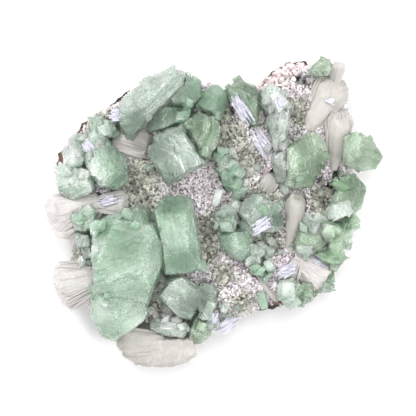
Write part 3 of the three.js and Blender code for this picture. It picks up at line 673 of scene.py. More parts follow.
# `pit` marks the painted shade in the pits.
paint(crust.data, "pit", np.clip(pit_depth(skin_points) * 3, 0, 1) * 0.9)
smooth(crust, 40)
dress(crust, CRUST_GROUND)
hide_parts("heulandite_crust")

# %% [markdown]
# A heulandite crystal is shaped like a coffin: a thin six-sided slab, widest above its middle. A
# six-sided cylinder is squashed and its upper end is drawn in. In the valleys the crystals are
# stubbier, so a ball of twenty faces is the second shape. Both have few faces, because there are
# many thousands of them.

# %% A slab
def take_shape(piece):
    """The corners and triangles of a piece, which is then removed."""
    corners = points_of(piece)
    faces = np.array([list(polygon.vertices) for polygon in piece.data.polygons])
    bpy.data.objects.remove(piece)
    return corners, faces


def model_slab():
    """A coffin-shaped slab one unit long, standing on its end."""
    bpy.ops.object.select_all(action="DESELECT")
    bpy.ops.mesh.primitive_cylinder_add(vertices=6, radius=0.5, depth=1.0, location=(0, 0, 0))
    slab = bpy.context.active_object
    bpy.ops.object.mode_set(mode="EDIT")
    mesh = bmesh.from_edit_mesh(slab.data)
    bpy.ops.mesh.select_mode(type="FACE")
    bpy.ops.mesh.select_all(action="DESELECT")
    for face in mesh.faces:
        face.select_set(face.normal.z > 0.9)
    bpy.ops.transform.resize(value=(0.5, 0.7, 1.0))
    bpy.ops.transform.rotate(value=math.radians(12), orient_axis="Y", center_override=(0, 0, 0.5))
    bpy.ops.mesh.select_all(action="SELECT")
    bpy.ops.transform.resize(value=(1.0, 0.6, 1.0))
    bpy.ops.mesh.quads_convert_to_tris()
    bpy.ops.object.mode_set(mode="OBJECT")
    return take_shape(slab)

# %% A nugget
def model_nugget():
    """A stubby grain one unit across."""
    bpy.ops.object.select_all(action="DESELECT")
    bpy.ops.mesh.primitive_ico_sphere_add(subdivisions=1, radius=0.5, location=(0, 0, 0))
    nugget = bpy.context.active_object
    bpy.ops.object.mode_set(mode="EDIT")
    bpy.ops.mesh.select_all(action="SELECT")
    bpy.ops.transform.resize(value=(1.0, 0.85, 1.1))
    bpy.ops.object.mode_set(mode="OBJECT")
    return take_shape(nugget)


SLAB = model_slab()
NUGGET = model_nugget()
print("a slab has", len(SLAB[1]), "triangles and a nugget", len(NUGGET[1]))

# %% [markdown]
# Where a grain may stand: points are thrown evenly over the skin, and each is kept if it is clear of
# the crystals and of the grains kept before it. A search tree finds the nearest crystal, and a grid
# of small boxes finds the nearest grains, so that no point is compared with all the others.

# %% Throwing points
def throw_points(piece, count):
    """Points and normals spread evenly over a piece's faces."""
    points = points_of(piece)
    faces = np.array([list(polygon.vertices) for polygon in piece.data.polygons])
    a, b, c = (points[faces[:, i]] for i in range(3))
    cross = np.cross(b - a, c - a)
    area = np.linalg.norm(cross, axis=1)
    chosen = random.choice(len(faces), count, p=area / area.sum())
    u, v = random.random((2, count))
    flip = u + v > 1
    u[flip], v[flip] = 1 - u[flip], 1 - v[flip]
    spots = a[chosen] + u[:, None] * (b - a)[chosen] + v[:, None] * (c - a)[chosen]
    return spots, (cross / np.maximum(area, 1e-12)[:, None])[chosen]

# %% Keeping clear
CLOSENESS = 0.25


def tree_of(pieces):
    """One search tree over several meshes."""
    corners, faces = [], []
    for piece in pieces:
        start = len(corners)
        corners.extend(vertex.co.copy() for vertex in piece.data.vertices)
        faces.extend([start + i for i in polygon.vertices] for polygon in piece.data.polygons)
    return BVHTree.FromPolygons(corners, faces)


def clear_of(tree, spots, margin):
    """True for each spot that is outside a closed shape and at least a margin from it."""
    kept = np.ones(len(spots), bool)
    for i, spot in enumerate(spots):
        place, normal, _, distance = tree.find_nearest(Vector(spot))
        kept[i] = distance > margin and (Vector(spot) - place).dot(normal) > 0
    return kept


def spread(spots, sizes):
    """Keeps a spot only if no kept spot is closer than the two sizes allow."""
    cell = 2.2 * MM
    grid = {}
    kept = []
    for i, (spot, size) in enumerate(zip(spots, sizes)):
        home = tuple(np.floor(spot / cell).astype(int))
        near = (j for dx in (-1, 0, 1) for dy in (-1, 0, 1) for dz in (-1, 0, 1)
                for j in grid.get((home[0] + dx, home[1] + dy, home[2] + dz), ()))
        if all(math.dist(spots[j], spot) > (sizes[j] + size) * CLOSENESS for j in near):
            grid.setdefault(home, []).append(i)
            kept.append(i)
    return np.array(kept)

# %% Scattering the grains
GRAIN_TRIES = 150000
GRAIN_GAP = 0.3 * MM
LOWEST_GRAIN = 8.8 * MM
LOWEST_FACING = -0.35
PIT_EDGE = -0.15
crystal_tree = tree_of([frame["nodes"][node] for node in APOPHYLLITES])
# `root` marks the skin inside the crystals, where painted light whitens it.
paint(crust.data, "root", ~clear_of(crystal_tree, points_of(crust), 0.0))
solid_tree = tree_of([frame["nodes"][node] for node in APOPHYLLITES + STILBITES])
spots, facing = throw_points(crust, GRAIN_TRIES)
outer = (facing[:, 2] > LOWEST_FACING) & (spots[:, 2] > LOWEST_GRAIN) & (pit_depth(spots) < PIT_EDGE)
outer &= random.random(len(spots)) > wear(spots)
spots, facing = spots[outer], facing[outer]
free = clear_of(solid_tree, spots, GRAIN_GAP)
spots, facing = spots[free], facing[free]
olive, coarse = olive_and_shade_share(spots), zone(spots, COARSE)
sizes = MM * (1.05 + 1.0 * olive + 0.8 * coarse) * random.uniform(0.7, 1.4, len(spots))
sizes *= np.where(random.random(len(spots)) < 0.03, 1.7, 1.0)
kept = spread(spots, sizes)
spots, facing, olive, coarse, sizes = (values[kept] for values in (spots, facing, olive, coarse, sizes))
print(len(spots), "grains stand on the crust")

# %% Copies as one mesh
def turned_frames(facing, lean):
    """For each normal a set of three axes, leaning away from it at random and turned at random."""
    axis = facing + random.normal(0, lean, facing.shape)
    axis /= np.linalg.norm(axis, axis=1)[:, None]
    helper = random.normal(0, 1, facing.shape)
    side = np.cross(helper, axis)
    side /= np.linalg.norm(side, axis=1)[:, None]
    return np.stack([side, np.cross(axis, side), axis], axis=2)


def joined(name, shape, frames, centres, scales, marks=None, unlike=0.0):
    """Many turned and scaled copies of one shape as one mesh, each with its corners moved a little."""
    corners, faces = shape
    count = len(centres)
    varied = corners[None] + random.normal(0, unlike, (count, *corners.shape))
    moved = np.einsum("nij,nkj->nki", frames, varied * scales[:, None, :]) + centres[:, None]
    index = (faces[None] + (np.arange(count) * len(corners))[:, None, None]).reshape(-1, 3)
    mesh = bpy.data.meshes.new(name)
    mesh.from_pydata(moved.reshape(-1, 3), [], index.tolist())
    for key, values in (marks or {}).items():
        paint(mesh, key, np.repeat(values, len(corners)))
    piece = bpy.data.objects.new(name, mesh)
    bpy.context.collection.objects.link(piece)
    return piece

# %% Joining the grains
GRAINS_A_PIECE = 8000
GRAIN_LEAN = 0.9
frames = turned_frames(facing, GRAIN_LEAN)
scales = sizes[:, None] * random.uniform((0.8, 0.9, 0.8), (1.25, 1.7, 1.2), (len(sizes), 3))
centres = spots + facing * sizes[:, None] * 0.1
# The grains in the olive valleys are darker: painted shade.
brightness = np.clip(random.normal(0.74, 0.42, len(spots)) - 0.42 * olive, 0.0, 1)
pinkness = np.clip(1 - 1.5 * olive + random.normal(0, 0.15, len(spots)), 0, 1)
rosiness = np.clip(coarse * random.normal(0.75, 0.3, len(spots)), 0, 1)
stubby = random.random(len(spots)) < 0.15 + 0.8 * np.maximum(olive, coarse)
for shape, label, wanted in ((SLAB, "slabs", ~stubby), (NUGGET, "nuggets", stubby)):
    chosen = np.flatnonzero(wanted)
    for number, start in enumerate(range(0, len(chosen), GRAINS_A_PIECE)):
        part = chosen[start:start + GRAINS_A_PIECE]
        grains = joined(f"heulandite_{label}_{number + 1}", shape, frames[part], centres[part],
                        scales[part],
                        {"light": brightness[part], "lilac": pinkness[part], "rosy": rosiness[part]})
        dress(grains, DRUSE)
        print(grains.name, "has", len(grains.data.polygons), "triangles")

# %% [markdown]
# ## Small apophyllites
# Between the large blocks stand many small ones of a few millimetres, grown into each other. Two
# shapes are modelled: a cube with its corners cut off, and a four-sided prism with a slanting end.
# Copies of them are joined, and what is inside another crystal is cut away, so that light meets one
# closed skin.

# %% A cube
def model_cube_crystal():
    """A cube one unit across with its corners cut off."""
    bpy.ops.object.select_all(action="DESELECT")
    bpy.ops.mesh.primitive_cube_add(size=1.0, location=(0, 0, 0))
    cube = bpy.context.active_object
    bpy.ops.object.mode_set(mode="EDIT")
    bpy.ops.mesh.select_all(action="SELECT")
    bpy.ops.mesh.bevel(offset=0.2, affect="VERTICES")
    bpy.ops.object.mode_set(mode="OBJECT")
    apply_modifier(cube, "TRIANGULATE")
    return take_shape(cube)

# %% A prism
def model_prism_crystal():
    """A four-sided prism with a slanting, pointed end."""
    bpy.ops.object.select_all(action="DESELECT")
    bpy.ops.mesh.primitive_cylinder_add(vertices=4, radius=0.6, depth=1.5, location=(0, 0, 0))
    prism = bpy.context.active_object
    bpy.ops.object.mode_set(mode="EDIT")
    mesh = bmesh.from_edit_mesh(prism.data)
    bpy.ops.mesh.select_mode(type="FACE")
    bpy.ops.mesh.select_all(action="DESELECT")
    for face in mesh.faces:
        face.select_set(face.normal.z > 0.9)
    bpy.ops.mesh.inset(thickness=0.2, depth=0.3)
    bpy.ops.transform.translate(value=(0.1, 0.05, 0))
    bpy.ops.object.mode_set(mode="OBJECT")
    apply_modifier(prism, "TRIANGULATE")
    return take_shape(prism)


CUBE_CRYSTAL = model_cube_crystal()
PRISM_CRYSTAL = model_prism_crystal()
print("a cube has", len(CUBE_CRYSTAL[1]), "triangles and a prism", len(PRISM_CRYSTAL[1]))

# %% Fusing and marking
def fuse(piece):
    """Makes overlapping crystals one closed skin. The partner is far off and only a helper."""
    bpy.ops.object.select_all(action="DESELECT")
    bpy.ops.mesh.primitive_cube_add(size=0.01, location=(0, 0, -1))
    partner = bpy.context.active_object
    apply_modifier(piece, "BOOLEAN", operation="DIFFERENCE", solver="EXACT", use_self=True, object=partner)
    bpy.data.objects.remove(partner)
    apply_modifier(piece, "TRIANGULATE")


def crystal_marks(piece, centres, frost, dense, unevenness, paler=0.0):
    """Gives every crystal of a group a tone of its own. A point belongs to the nearest crystal."""
    points = points_of(piece)
    own_tone = random.normal(paler, unevenness, len(centres))
    owner = np.array([np.argmin(np.linalg.norm(centres - point, axis=1)) for point in points])
    paint(piece.data, "rim", np.full(len(points), 0.5))
    paint(piece.data, "frost", np.resize(frost, len(centres))[owner])
    paint(piece.data, "dense", np.full(len(points), dense))
    paint(piece.data, "tone", np.clip(tones_and_painted_light_at(points) + own_tone[owner], -1, 1))

# %% [markdown]
# A cluster stands on the crust and crowds against the nearest large block, as small crystals of
# one growth do. Places are thrown on the crust and kept if they are inside its outline, out of the
# pits, near a block and off the silky fans, whose blades stay bare. A cluster then draws its own
# from those, the nearer the likelier.

# %% Clusters of them
# Each cluster: x, y, radius, how many, smallest and largest size (millimetres), finish.
CLUSTERS = [
    (-56, -3, 9, 12, 3, 6, "mint"), (-59, -16, 7, 16, 3, 6, "pale"), (-50, 38, 9, 16, 3, 6, "pale"),
    (9, -2, 9, 14, 3, 7, "pale"), (24, -3, 10, 12, 4, 7, "pale"), (18, -23, 8, 14, 4, 7, "mint"),
    (26, -17, 6, 12, 3, 5, "pale"), (44, -14, 9, 20, 4, 8, "mint"), (54, -14, 7, 16, 4, 8, "deep"),
    (34, -35, 7, 14, 4, 8, "mint"), (55, -5, 7, 14, 4, 8, "mint"), (-3, -46, 9, 18, 3, 7, "pale"),
    (5, -47, 6, 12, 3, 5, "pale"), (26, 46, 8, 12, 4, 7, "pale"), (-64, 12, 7, 10, 4, 7, "pale"),
    (24, 12, 7, 12, 3, 6, "pale"), (-61, 27, 7, 10, 3, 6, "pale"), (50, -26, 6, 12, 3, 6, "deep"),
    (-14, 42, 8, 8, 4, 7, "deep"), (57, 12, 6, 10, 4, 6, "mint"), (-22, -49, 9, 14, 3, 5, "pale"),
    (8, 17, 6, 8, 3, 6, "mint"), (-26, 22, 6, 6, 3, 5, "pale"), (-42, -30, 20, 16, 3, 6, "mint"),
]


def ground_height(tree, x, y):
    """The height of the first thing met on the way down."""
    found = tree.ray_cast(Vector((x, y, 1)), Vector((0, 0, -1)))[0]
    return found.z if found else None

# %% Ground for the clusters
CLUSTER_TRIES = 60000
FROM_OUTLINE = 3.5 * MM
FROM_PIT = -0.8
FROM_FAN = 2.5 * MM
NEAR_BLOCK = 5 * MM
crust_tree = tree_of([crust])
crust_spots, crust_facing = throw_points(crust, CLUSTER_TRIES)
further_out = [spot[:2] * (1 + FROM_OUTLINE / np.hypot(*spot[:2])) for spot in crust_spots]
inside = np.array([ground_height(crust_tree, x, y) is not None for x, y in further_out])
upper = (crust_facing[:, 2] > 0.1) & (pit_depth(crust_spots) < FROM_PIT) & inside
crust_spots, crust_facing = crust_spots[upper], crust_facing[upper]
beside = np.array([solid_tree.find_nearest(Vector(spot))[3] for spot in crust_spots])
fan_tree = tree_of([frame["nodes"][node] for node in STILBITES])
open_ground = clear_of(solid_tree, crust_spots, 0.0) & (beside < NEAR_BLOCK)
open_ground &= clear_of(fan_tree, crust_spots, FROM_FAN)
crust_spots, crust_facing, beside = (values[open_ground] for values in (crust_spots, crust_facing, beside))
print(len(crust_spots), "places where a cluster's crystal may stand")

# %% Growing the clusters
LOWEST_CRYSTAL = 12 * MM
USUAL_TURN = 75
small_crystals = []
for number, (x, y, radius, count, small, large, finish) in enumerate(CLUSTERS):
    nearby = zone(crust_spots, [(x, y, radius)]) * np.exp(-beside / (2.5 * MM))
    nearby *= crust_spots[:, 2] > LOWEST_CRYSTAL
    chosen = random.choice(len(crust_spots), count, replace=False, p=nearby / nearby.sum())
    sizes = random.uniform(small, large, count) * MM
    centres = crust_spots[chosen] + crust_facing[chosen] * sizes[:, None] * 0.25
    frames = turned_frames(crust_facing[chosen] + (0, 0, 0.5), lean=0.5)
    scales = sizes[:, None] * random.uniform(0.45, 1.1, (count, 3))
    shape = PRISM_CRYSTAL if number % 3 == 1 else CUBE_CRYSTAL
    cluster = joined(f"small_crystals_{number + 1}", shape, frames, centres, scales, unlike=0.06)
    fuse(cluster)
    crystal_marks(cluster, centres, random.uniform(0.3, 1.0, count), dense=0.8, unevenness=0.25)
    store_lines(cluster, USUAL_TURN)
    dress(cluster, CRYSTAL_FINISH["apophyllite_" + finish])
    small_crystals.append(cluster)
print(len(CLUSTERS), "clusters of small crystals")

# %% [markdown]
# In some places the small crystals have grown over the large ones and over each other, up to a
# centimetre across. Those are heaped on whatever is there but the fans, and broken up like the
# large blocks. Each heap is refined like a block, so that its facets can be tilted and stepped.

# %% Heaps
# Each heap: x, y, radius, how many, smallest and largest size (millimetres), finish.
HEAPS = [
    (-57, -1, 4, 4, 5, 9, "mint"), (-51, -6, 3, 4, 5, 8, "mint"), (-45, -2, 3, 3, 4, 7, "mint"),
    (-38, -4, 3, 3, 4, 7, "mint"), (-51, -21, 3, 3, 3, 6, "pale"), (-49, -39, 3, 4, 4, 7, "mint"),
    (-56, 31, 5, 5, 4, 8, "pale"), (-63, 19, 3, 3, 4, 8, "pale"), (-51, 37, 5, 4, 4, 7, "pale"),
    (-14, 45, 3, 3, 5, 8, "mint"), (7, 19, 2, 3, 7, 10, "mint"), (10, 10, 2, 3, 6, 9, "mint"),
    (2, 26, 2, 3, 4, 7, "mint"), (2, -4, 4, 5, 5, 9, "pale"), (25, 1, 4, 4, 5, 8, "mint"),
    (4, -6, 3, 3, 3, 5, "mint"), (17, -19, 3, 4, 6, 9, "pale"), (21, -26, 3, 3, 5, 8, "mint"),
    (44, -9, 4, 5, 8, 12, "pale"), (53, -8, 4, 5, 7, 11, "deep"), (55, 0, 3, 4, 6, 9, "pale"),
    (53, -19, 4, 5, 8, 11, "deep"), (41, -17, 3, 3, 6, 9, "pale"), (32, -38, 2, 3, 6, 9, "pale"),
    (42, -38, 2, 2, 4, 7, "deep"), (53, -29, 2, 3, 5, 8, "deep"), (38, 11, 3, 3, 4, 7, "mint"),
    (57, 13, 3, 3, 5, 8, "deep"), (26, 47, 4, 3, 5, 8, "pale"), (29, 31, 3, 3, 4, 7, "pale"),
    (-2, -45, 4, 5, 5, 9, "pale"), (-20, -48, 5, 5, 4, 8, "pale"), (-8, -50, 2, 3, 5, 8, "deep"),
]

# %% Growing the heaps
HEAP_DETAIL = 1.3 * MM
HEAP_FROM_EDGE = 2 * MM
HEAP_FROM_FAN = 1.5 * MM
HEAP_FACET = 3 * MM
whole_tree = tree_of([frame["nodes"][node] for node in APOPHYLLITES + STILBITES] + [crust])
for number, (x, y, radius, count, small, large, finish) in enumerate(HEAPS):
    turn = number * 40
    centres, upright, sizes = [], [], []
    while len(centres) < count:
        px, py = random.normal((x, y), radius * 0.6) * MM
        place, normal, _, _ = whole_tree.ray_cast(Vector((px, py, 1)), Vector((0, 0, -1)))
        further_x, further_y = (v + HEAP_FROM_EDGE * np.sign(v) for v in (px, py))
        edge = ground_height(whole_tree, further_x, further_y)
        if place is None or edge is None or not clear_of(fan_tree, [place], HEAP_FROM_FAN)[0]:
            continue
        size = random.uniform(small, large) * MM
        centres.append(np.array(place) - np.array(normal) * size * 0.2)
        upright.append(np.array(normal) + (0, 0, 1.0))
        sizes.append(size)
    centres, sizes = np.array(centres), np.array(sizes)
    frames = turned_frames(np.array(upright), lean=0.5)
    scales = sizes[:, None] * random.uniform(0.4, 1.1, (count, 3))
    shape = PRISM_CRYSTAL if number % 2 == 1 else CUBE_CRYSTAL
    heap = joined(f"heaped_crystals_{number + 1}", shape, frames, centres, scales, unlike=0.08)
    fuse(heap)
    refine(heap, HEAP_DETAIL)
    paler = 0.0 if finish == "pale" else -0.2
    crystal_marks(heap, centres, random.uniform(0.3, 1.0, count), dense=0.5, unevenness=0.2, paler=paler)
    along, across = line_axes(turn)
    rise = facet_rise(points_of(heap), along, across, HEAP_FACET, number)
    place_points(heap, points_of(heap) + normals_of(heap) * rise[:, None] * 0.25)
    store_lines(heap, turn)
    smooth(heap, CRYSTAL_SMOOTH)
    dress(heap, CRYSTAL_FINISH["apophyllite_" + finish])
    small_crystals.append(heap)
print(len(HEAPS), "heaps")

# %% [markdown]
# Along its edges a large block has often gone on growing as many small ones in the same direction.
# These sit half sunk in the block they belong to, near its edges, and nearly parallel to it.

# %% Overgrowths
SMALLEST_HOST = 18 * MM
OVERGROWTH_RIM = 0.45
THROWS_A_MM = 30
OVERGROWTH_SIZES = (1.4 * MM, 3.6 * MM)


def overgrow(block, turn, frost, slot):
    """Small blocks along the edges of a large one."""
    size = np.linalg.norm(np.ptp(points_of(block), axis=0)) / MM
    if size < SMALLEST_HOST / MM:
        return
    spots, facing = throw_points(block, int(size * THROWS_A_MM))
    rim = np.clip(distance_to(EDGES_OF[block.name], spots) / RIM_WIDTH, 0, 1)
    wanted = np.flatnonzero((rim < OVERGROWTH_RIM) & (facing[:, 2] > -0.2) & (spots[:, 2] > LOWEST_CRYSTAL))
    count = min(int(size * (0.1 + 0.2 * frost)), len(wanted))
    chosen = random.choice(wanted, count, replace=False)
    along, across = line_axes(turn)
    axes = np.stack([along, across, np.cross(along, across)], axis=1)
    axes = np.tile(axes, (count, 1, 1)) + random.normal(0, 0.1, (count, 3, 3))
    sizes = random.uniform(*OVERGROWTH_SIZES, count)
    centres = spots[chosen] - facing[chosen] * sizes[:, None] * 0.3
    scales = sizes[:, None] * random.uniform((0.8, 0.6, 0.6), (1.5, 1.1, 1.1), (count, 3))
    name = block.name.replace("crystal", "overgrowth")
    growth = joined(name, CUBE_CRYSTAL, axes, centres, scales, unlike=0.04)
    fuse(growth)
    crystal_marks(growth, centres, frost, dense=0.15, unevenness=0.1, paler=-0.2)
    store_lines(growth, turn)
    dress(growth, CRYSTAL_FINISH[slot])
    small_crystals.append(growth)


for crystal, node in zip(crystals, APOPHYLLITES):
    turn, line_height, frost = HABITS.get(node, USUAL_HABIT)
    overgrow(crystal, turn, frost, SLOT_OF[node])
print(sum(len(piece.data.polygons) for piece in small_crystals), "triangles in all the small crystals")

# %% [markdown]
# ## The basalt
# It is a broken lava: dark, rough and pitted with old gas bubbles, and rusty where it has weathered.
# The cut face underneath stays flat, so only points above it are moved.

# %% Basalt material
def basalt_material():
    """Dark rock with rusty patches."""
    recipe = Recipe("basalt_rock")
    coarse = recipe.lumps(7 * MM, detail=6.0, roughness=0.6)
    fine = recipe.lumps(0.8 * MM, detail=4.0, roughness=0.7)
    rust = recipe.ramp(recipe.lumps(11 * MM, detail=3.0), (0.5, 0.0), (0.66, 1.0))
    dark = recipe.mix(fine, colour(38, 33, 29), colour(88, 78, 66))
    worn = recipe.mix(rust * 0.6, dark, colour(104, 70, 50))
    shader = recipe.add("BsdfPrincipled", None, {
        "Base Color": worn, "Roughness": recipe.ramp(fine, (0.3, 0.6), (0.7, 0.95)),
        "Normal": recipe.bump(coarse + fine * 0.5, 0.8 * MM, 0.7)}, output="BSDF")
    return recipe.finish(shader)

# %% The basalt
BASALT_DETAIL = 1.7 * MM
ABOVE_CUT = 2 * MM
basalt = copy_of("basalt_matrix", "basalt_rock")
refine(basalt, BASALT_DETAIL)
rock = points_of(basalt)
push = cloud(rock, 6 * MM, 21) * 1.3 + cloud(rock, 2.4 * MM, 22) * 0.9 - 0.2
push *= np.clip(rock[:, 2] / ABOVE_CUT, 0, 1) * MM
place_points(basalt, rock + normals_of(basalt) * push[:, None])
smooth(basalt, 35)
dress(basalt, basalt_material())
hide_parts("basalt_matrix")

# %% [markdown]
# ## The stilbite fans
# Stilbite grows as sheaves: thin blades that start together at a waist and spread like a bow tie. Most
# of them have grown into broad ribbed shells that lie on each other like the pages of an open book,
# and single blades stand out between them. A flat grid becomes a shell and a long lens a blade.

# %% Stilbite material
def stilbite_material():
    """Silk: fine fibres, darker in their grooves as painted shade, and broader tufts with painted
    highlights along each blade.
    """
    recipe = Recipe("stilbite_silk")
    along = recipe.add("UVMap", {"uv_map": "blade"})
    stretched = recipe.add("Mapping", None, {"Vector": along, "Scale": (0.6, 26.0, 1.0)})
    fibre = recipe.add("TexNoise", None, {"Vector": stretched, "Scale": 1.0, "Detail": 3.0})
    broad = recipe.add("Mapping", None, {"Vector": along, "Scale": (0.8, 9.0, 1.0)})
    tuft = recipe.add("TexNoise", None, {"Vector": broad, "Scale": 1.0, "Detail": 4.0, "Roughness": 0.7})
    patches = recipe.lumps(5 * MM, detail=3.0)
    white = recipe.attribute("white")
    waxy = recipe.mix(patches, colour(160, 157, 148), colour(191, 187, 180))
    silk = recipe.mix(patches, colour(198, 191, 189), colour(226, 220, 219))
    cream = recipe.mix(white, waxy, silk)
    # The fibre lines are darker: the fibres' own streaks and painted shade in the grooves.
    fibres_and_groove_shade = recipe.mix(recipe.ramp(fibre, (0.35, 0.0), (0.65, 1.0)) * 0.25, cream, colour(186, 179, 175))
    # The tufts are painted near white: painted highlights, stronger on whiter sheaves.
    tuft_highlights = recipe.ramp(tuft, (0.5, 0.0), (0.64, 0.7)) * (white * 0.8 + 0.15)
    base = recipe.mix(tuft_highlights, fibres_and_groove_shade, colour(242, 237, 237))
    shader = recipe.add("BsdfPrincipled", None, {
        "Base Color": base, "Roughness": recipe.ramp(fibre, (0.3, 0.25), (0.7, 0.5)), "IOR": 1.5,
        "Subsurface Weight": 0.3, "Subsurface Radius": (1.0, 0.92, 0.85), "Subsurface Scale": 0.6 * MM,
        "Sheen Weight": 0.25, "Sheen Roughness": 0.4,
        "Normal": recipe.bump(fibre * 0.5 + tuft, 0.25 * MM, 0.7)}, output="BSDF")
    return recipe.finish(shader)


STILBITE = stilbite_material()

# %% One blade
def model_blade():
    """A lens-shaped blade along +X: 0 to 1 long, -1 to 1 wide and thick."""
    bpy.ops.object.select_all(action="DESELECT")
    bpy.ops.mesh.primitive_uv_sphere_add(segments=6, ring_count=7, radius=1.0, location=(0, 0, 0))
    blade = bpy.context.active_object
    bpy.ops.object.mode_set(mode="EDIT")
    bpy.ops.mesh.select_all(action="SELECT")
    bpy.ops.transform.rotate(value=math.radians(90), orient_axis="Y", center_override=(0, 0, 0))
    bpy.ops.transform.translate(value=(1, 0, 0))
    bpy.ops.transform.resize(value=(0.5, 1, 1), center_override=(0, 0, 0))
    bpy.ops.mesh.quads_convert_to_tris()
    bpy.ops.object.mode_set(mode="OBJECT")
    return take_shape(blade)

# %% One shell
def model_shell():
    """A flat grid from -1 to 1, finer across than along."""
    bpy.ops.object.select_all(action="DESELECT")
    bpy.ops.mesh.primitive_grid_add(x_subdivisions=14, y_subdivisions=34, size=2, location=(0, 0, 0))
    return take_shape(bpy.context.active_object)


BLADE_CORNERS, BLADE_FACES = model_blade()
SHELL_CORNERS, SHELL_FACES = model_shell()
print("a blade has", len(BLADE_FACES), "triangles and a shell", len(SHELL_FACES), "squares")

# %% [markdown]
# A lobe of a fan is given by its waist, its end, the widths at both and its thickness, as on the
# solid. The height of its top is read from the solid itself. The upper blades end a little earlier
# than the lower ones, which makes the stepped, scalloped edge of a real sheaf.

# %% The lobes
# Each lobe: waist x, y, end x, y, width at each, thickness, shells, blades, blade width (millimetres),
# and how it opens: below 1 it spreads at once like a fan, above 1 only near its end like a club.
LOBES = {
    "stilbite_bow_tie_left": [(-51, 4, -74, -6, 8, 27, 8, 16, 150, 0.4, 0.7),
                              (-54, 3, -37.5, 4, 6, 13, 7, 9, 70, 0.45, 0.8)],
    "stilbite_upper_right_sheaf": [(40, 36, 55, 60, 8, 21, 12, 14, 110, 0.5, 0.8)],
    "stilbite_right_sheaf": [(52, 18, 55, 46, 4, 16, 10, 10, 100, 0.5, 0.9)],
    "stilbite_bottom_shell": [(-25, -47, -25, -70, 24, 36, 12, 12, 10, 1.0, 0.8),
                              (-23, -58, -45, -57.5, 8, 14, 9, 8, 24, 0.9, 0.8)],
    "stilbite_lower_left_fan": [(-52, -29, -72, -35, 10, 26, 9, 12, 110, 0.45, 0.7)],
    "stilbite_grey_fan": [(-25, 27, -46, 33, 13, 14, 9, 9, 80, 0.5, 1.0)],
    "stilbite_club": [(32.5, -18.5, 36.5, 9, 5.5, 12.5, 9, 8, 4, 0.6, 1.3)],
    "stilbite_lower_right_fan": [(35, -20.5, 50.5, -31, 6, 20, 9, 12, 100, 0.4, 0.7),
                                 (37, -20, 32, -32, 5, 11, 8, 6, 60, 0.4, 0.8)],
    "stilbite_centre_wedge": [(30.5, 21, 20.5, 7, 4, 12, 7, 7, 50, 0.7, 0.9)],
    "stilbite_top_right_tip": [(52.5, 55, 55.5, 67, 4, 8, 6, 5, 30, 0.7, 1.0)],
    "stilbite_long_lath": [(18.8, -28.5, 28, -41.3, 2, 2.8, 3.5, 2, 10, 0.7, 1.0)],
}
# How white each sheaf is, from 0 for waxy grey to 1. It also sets how strong the tufts' painted highlights
# are.
WHITENESS = {
    "stilbite_bow_tie_left": 1.0, "stilbite_lower_left_fan": 0.9, "stilbite_upper_right_sheaf": 0.25,
    "stilbite_right_sheaf": 0.35, "stilbite_bottom_shell": 0.3, "stilbite_grey_fan": 0.8,
    "stilbite_club": 0.15, "stilbite_lower_right_fan": 0.9, "stilbite_centre_wedge": 0.35,
    "stilbite_top_right_tip": 0.6, "stilbite_long_lath": 0.7,
}
# How high the ribs of the shells are in millimetres. A fan with ribs below SILKY_RIB looks whole.
USUAL_RIB = 0.16
SILKY_RIB = 0.06
RIB_HEIGHT = {"stilbite_club": 0.03, "stilbite_bottom_shell": 0.05, "stilbite_grey_fan": 0.09,
              "stilbite_lower_right_fan": 0.35, "stilbite_upper_right_sheaf": 0.2,
              "stilbite_right_sheaf": 0.2}
# The least and most of the fan's width that a top shell takes.
USUAL_SPAN = (0.35, 0.55)
SHELL_SPAN = {"stilbite_upper_right_sheaf": (0.62, 0.9), "stilbite_right_sheaf": (0.6, 0.9)}
print(sum(len(rows) for rows in LOBES.values()), "lobes in", len(LOBES), "sheaves")

# %% One lobe
def top_heights(tree, waist, end):
    """How high a solid's top is at thirteen places along a line, filled in where it misses."""
    shares = np.linspace(0.03, 0.97, 13)
    heights = [ground_height(tree, *(waist + (end - waist) * share)) for share in shares]
    met = [(share, height) for share, height in zip(shares, heights) if height]
    return shares, np.interp(shares, *zip(*met))


class Lobe:
    """One lobe of a sheaf: it turns places along and across the fan into points."""

    def __init__(self, tree, x0, y0, x1, y1, narrow, broad, thick, opening, ribs, span, seed):
        self.waist, self.end = np.array([x0, y0]) * MM, np.array([x1, y1]) * MM
        self.shares, self.tops = top_heights(tree, self.waist, self.end)
        self.length = np.linalg.norm(self.end - self.waist)
        along = (self.end - self.waist) / self.length
        self.side = np.array([-along[1], along[0]])
        self.narrow, self.broad, self.thick, self.opening = narrow, broad, thick * MM, opening
        self.ribs, self.span, self.seed = ribs, span, seed

    def half_width(self, t):
        """Half the fan's width at shares t of its length."""
        return (self.narrow + (self.broad - self.narrow) * np.clip(t, 0, 1) ** self.opening) * MM / 2

    def points(self, t, sideways, across, depth, rise):
        """Points at shares t of the length; depth is 0 at the top of the sheaf and 1 at its foot."""
        plan = self.waist + t[:, None] * (self.end - self.waist) + sideways[:, None] * self.side
        drop = self.thick * (0.45 * depth + 0.22 * across ** 2)
        return np.column_stack([plan, np.interp(t, self.shares, self.tops) - drop + rise])

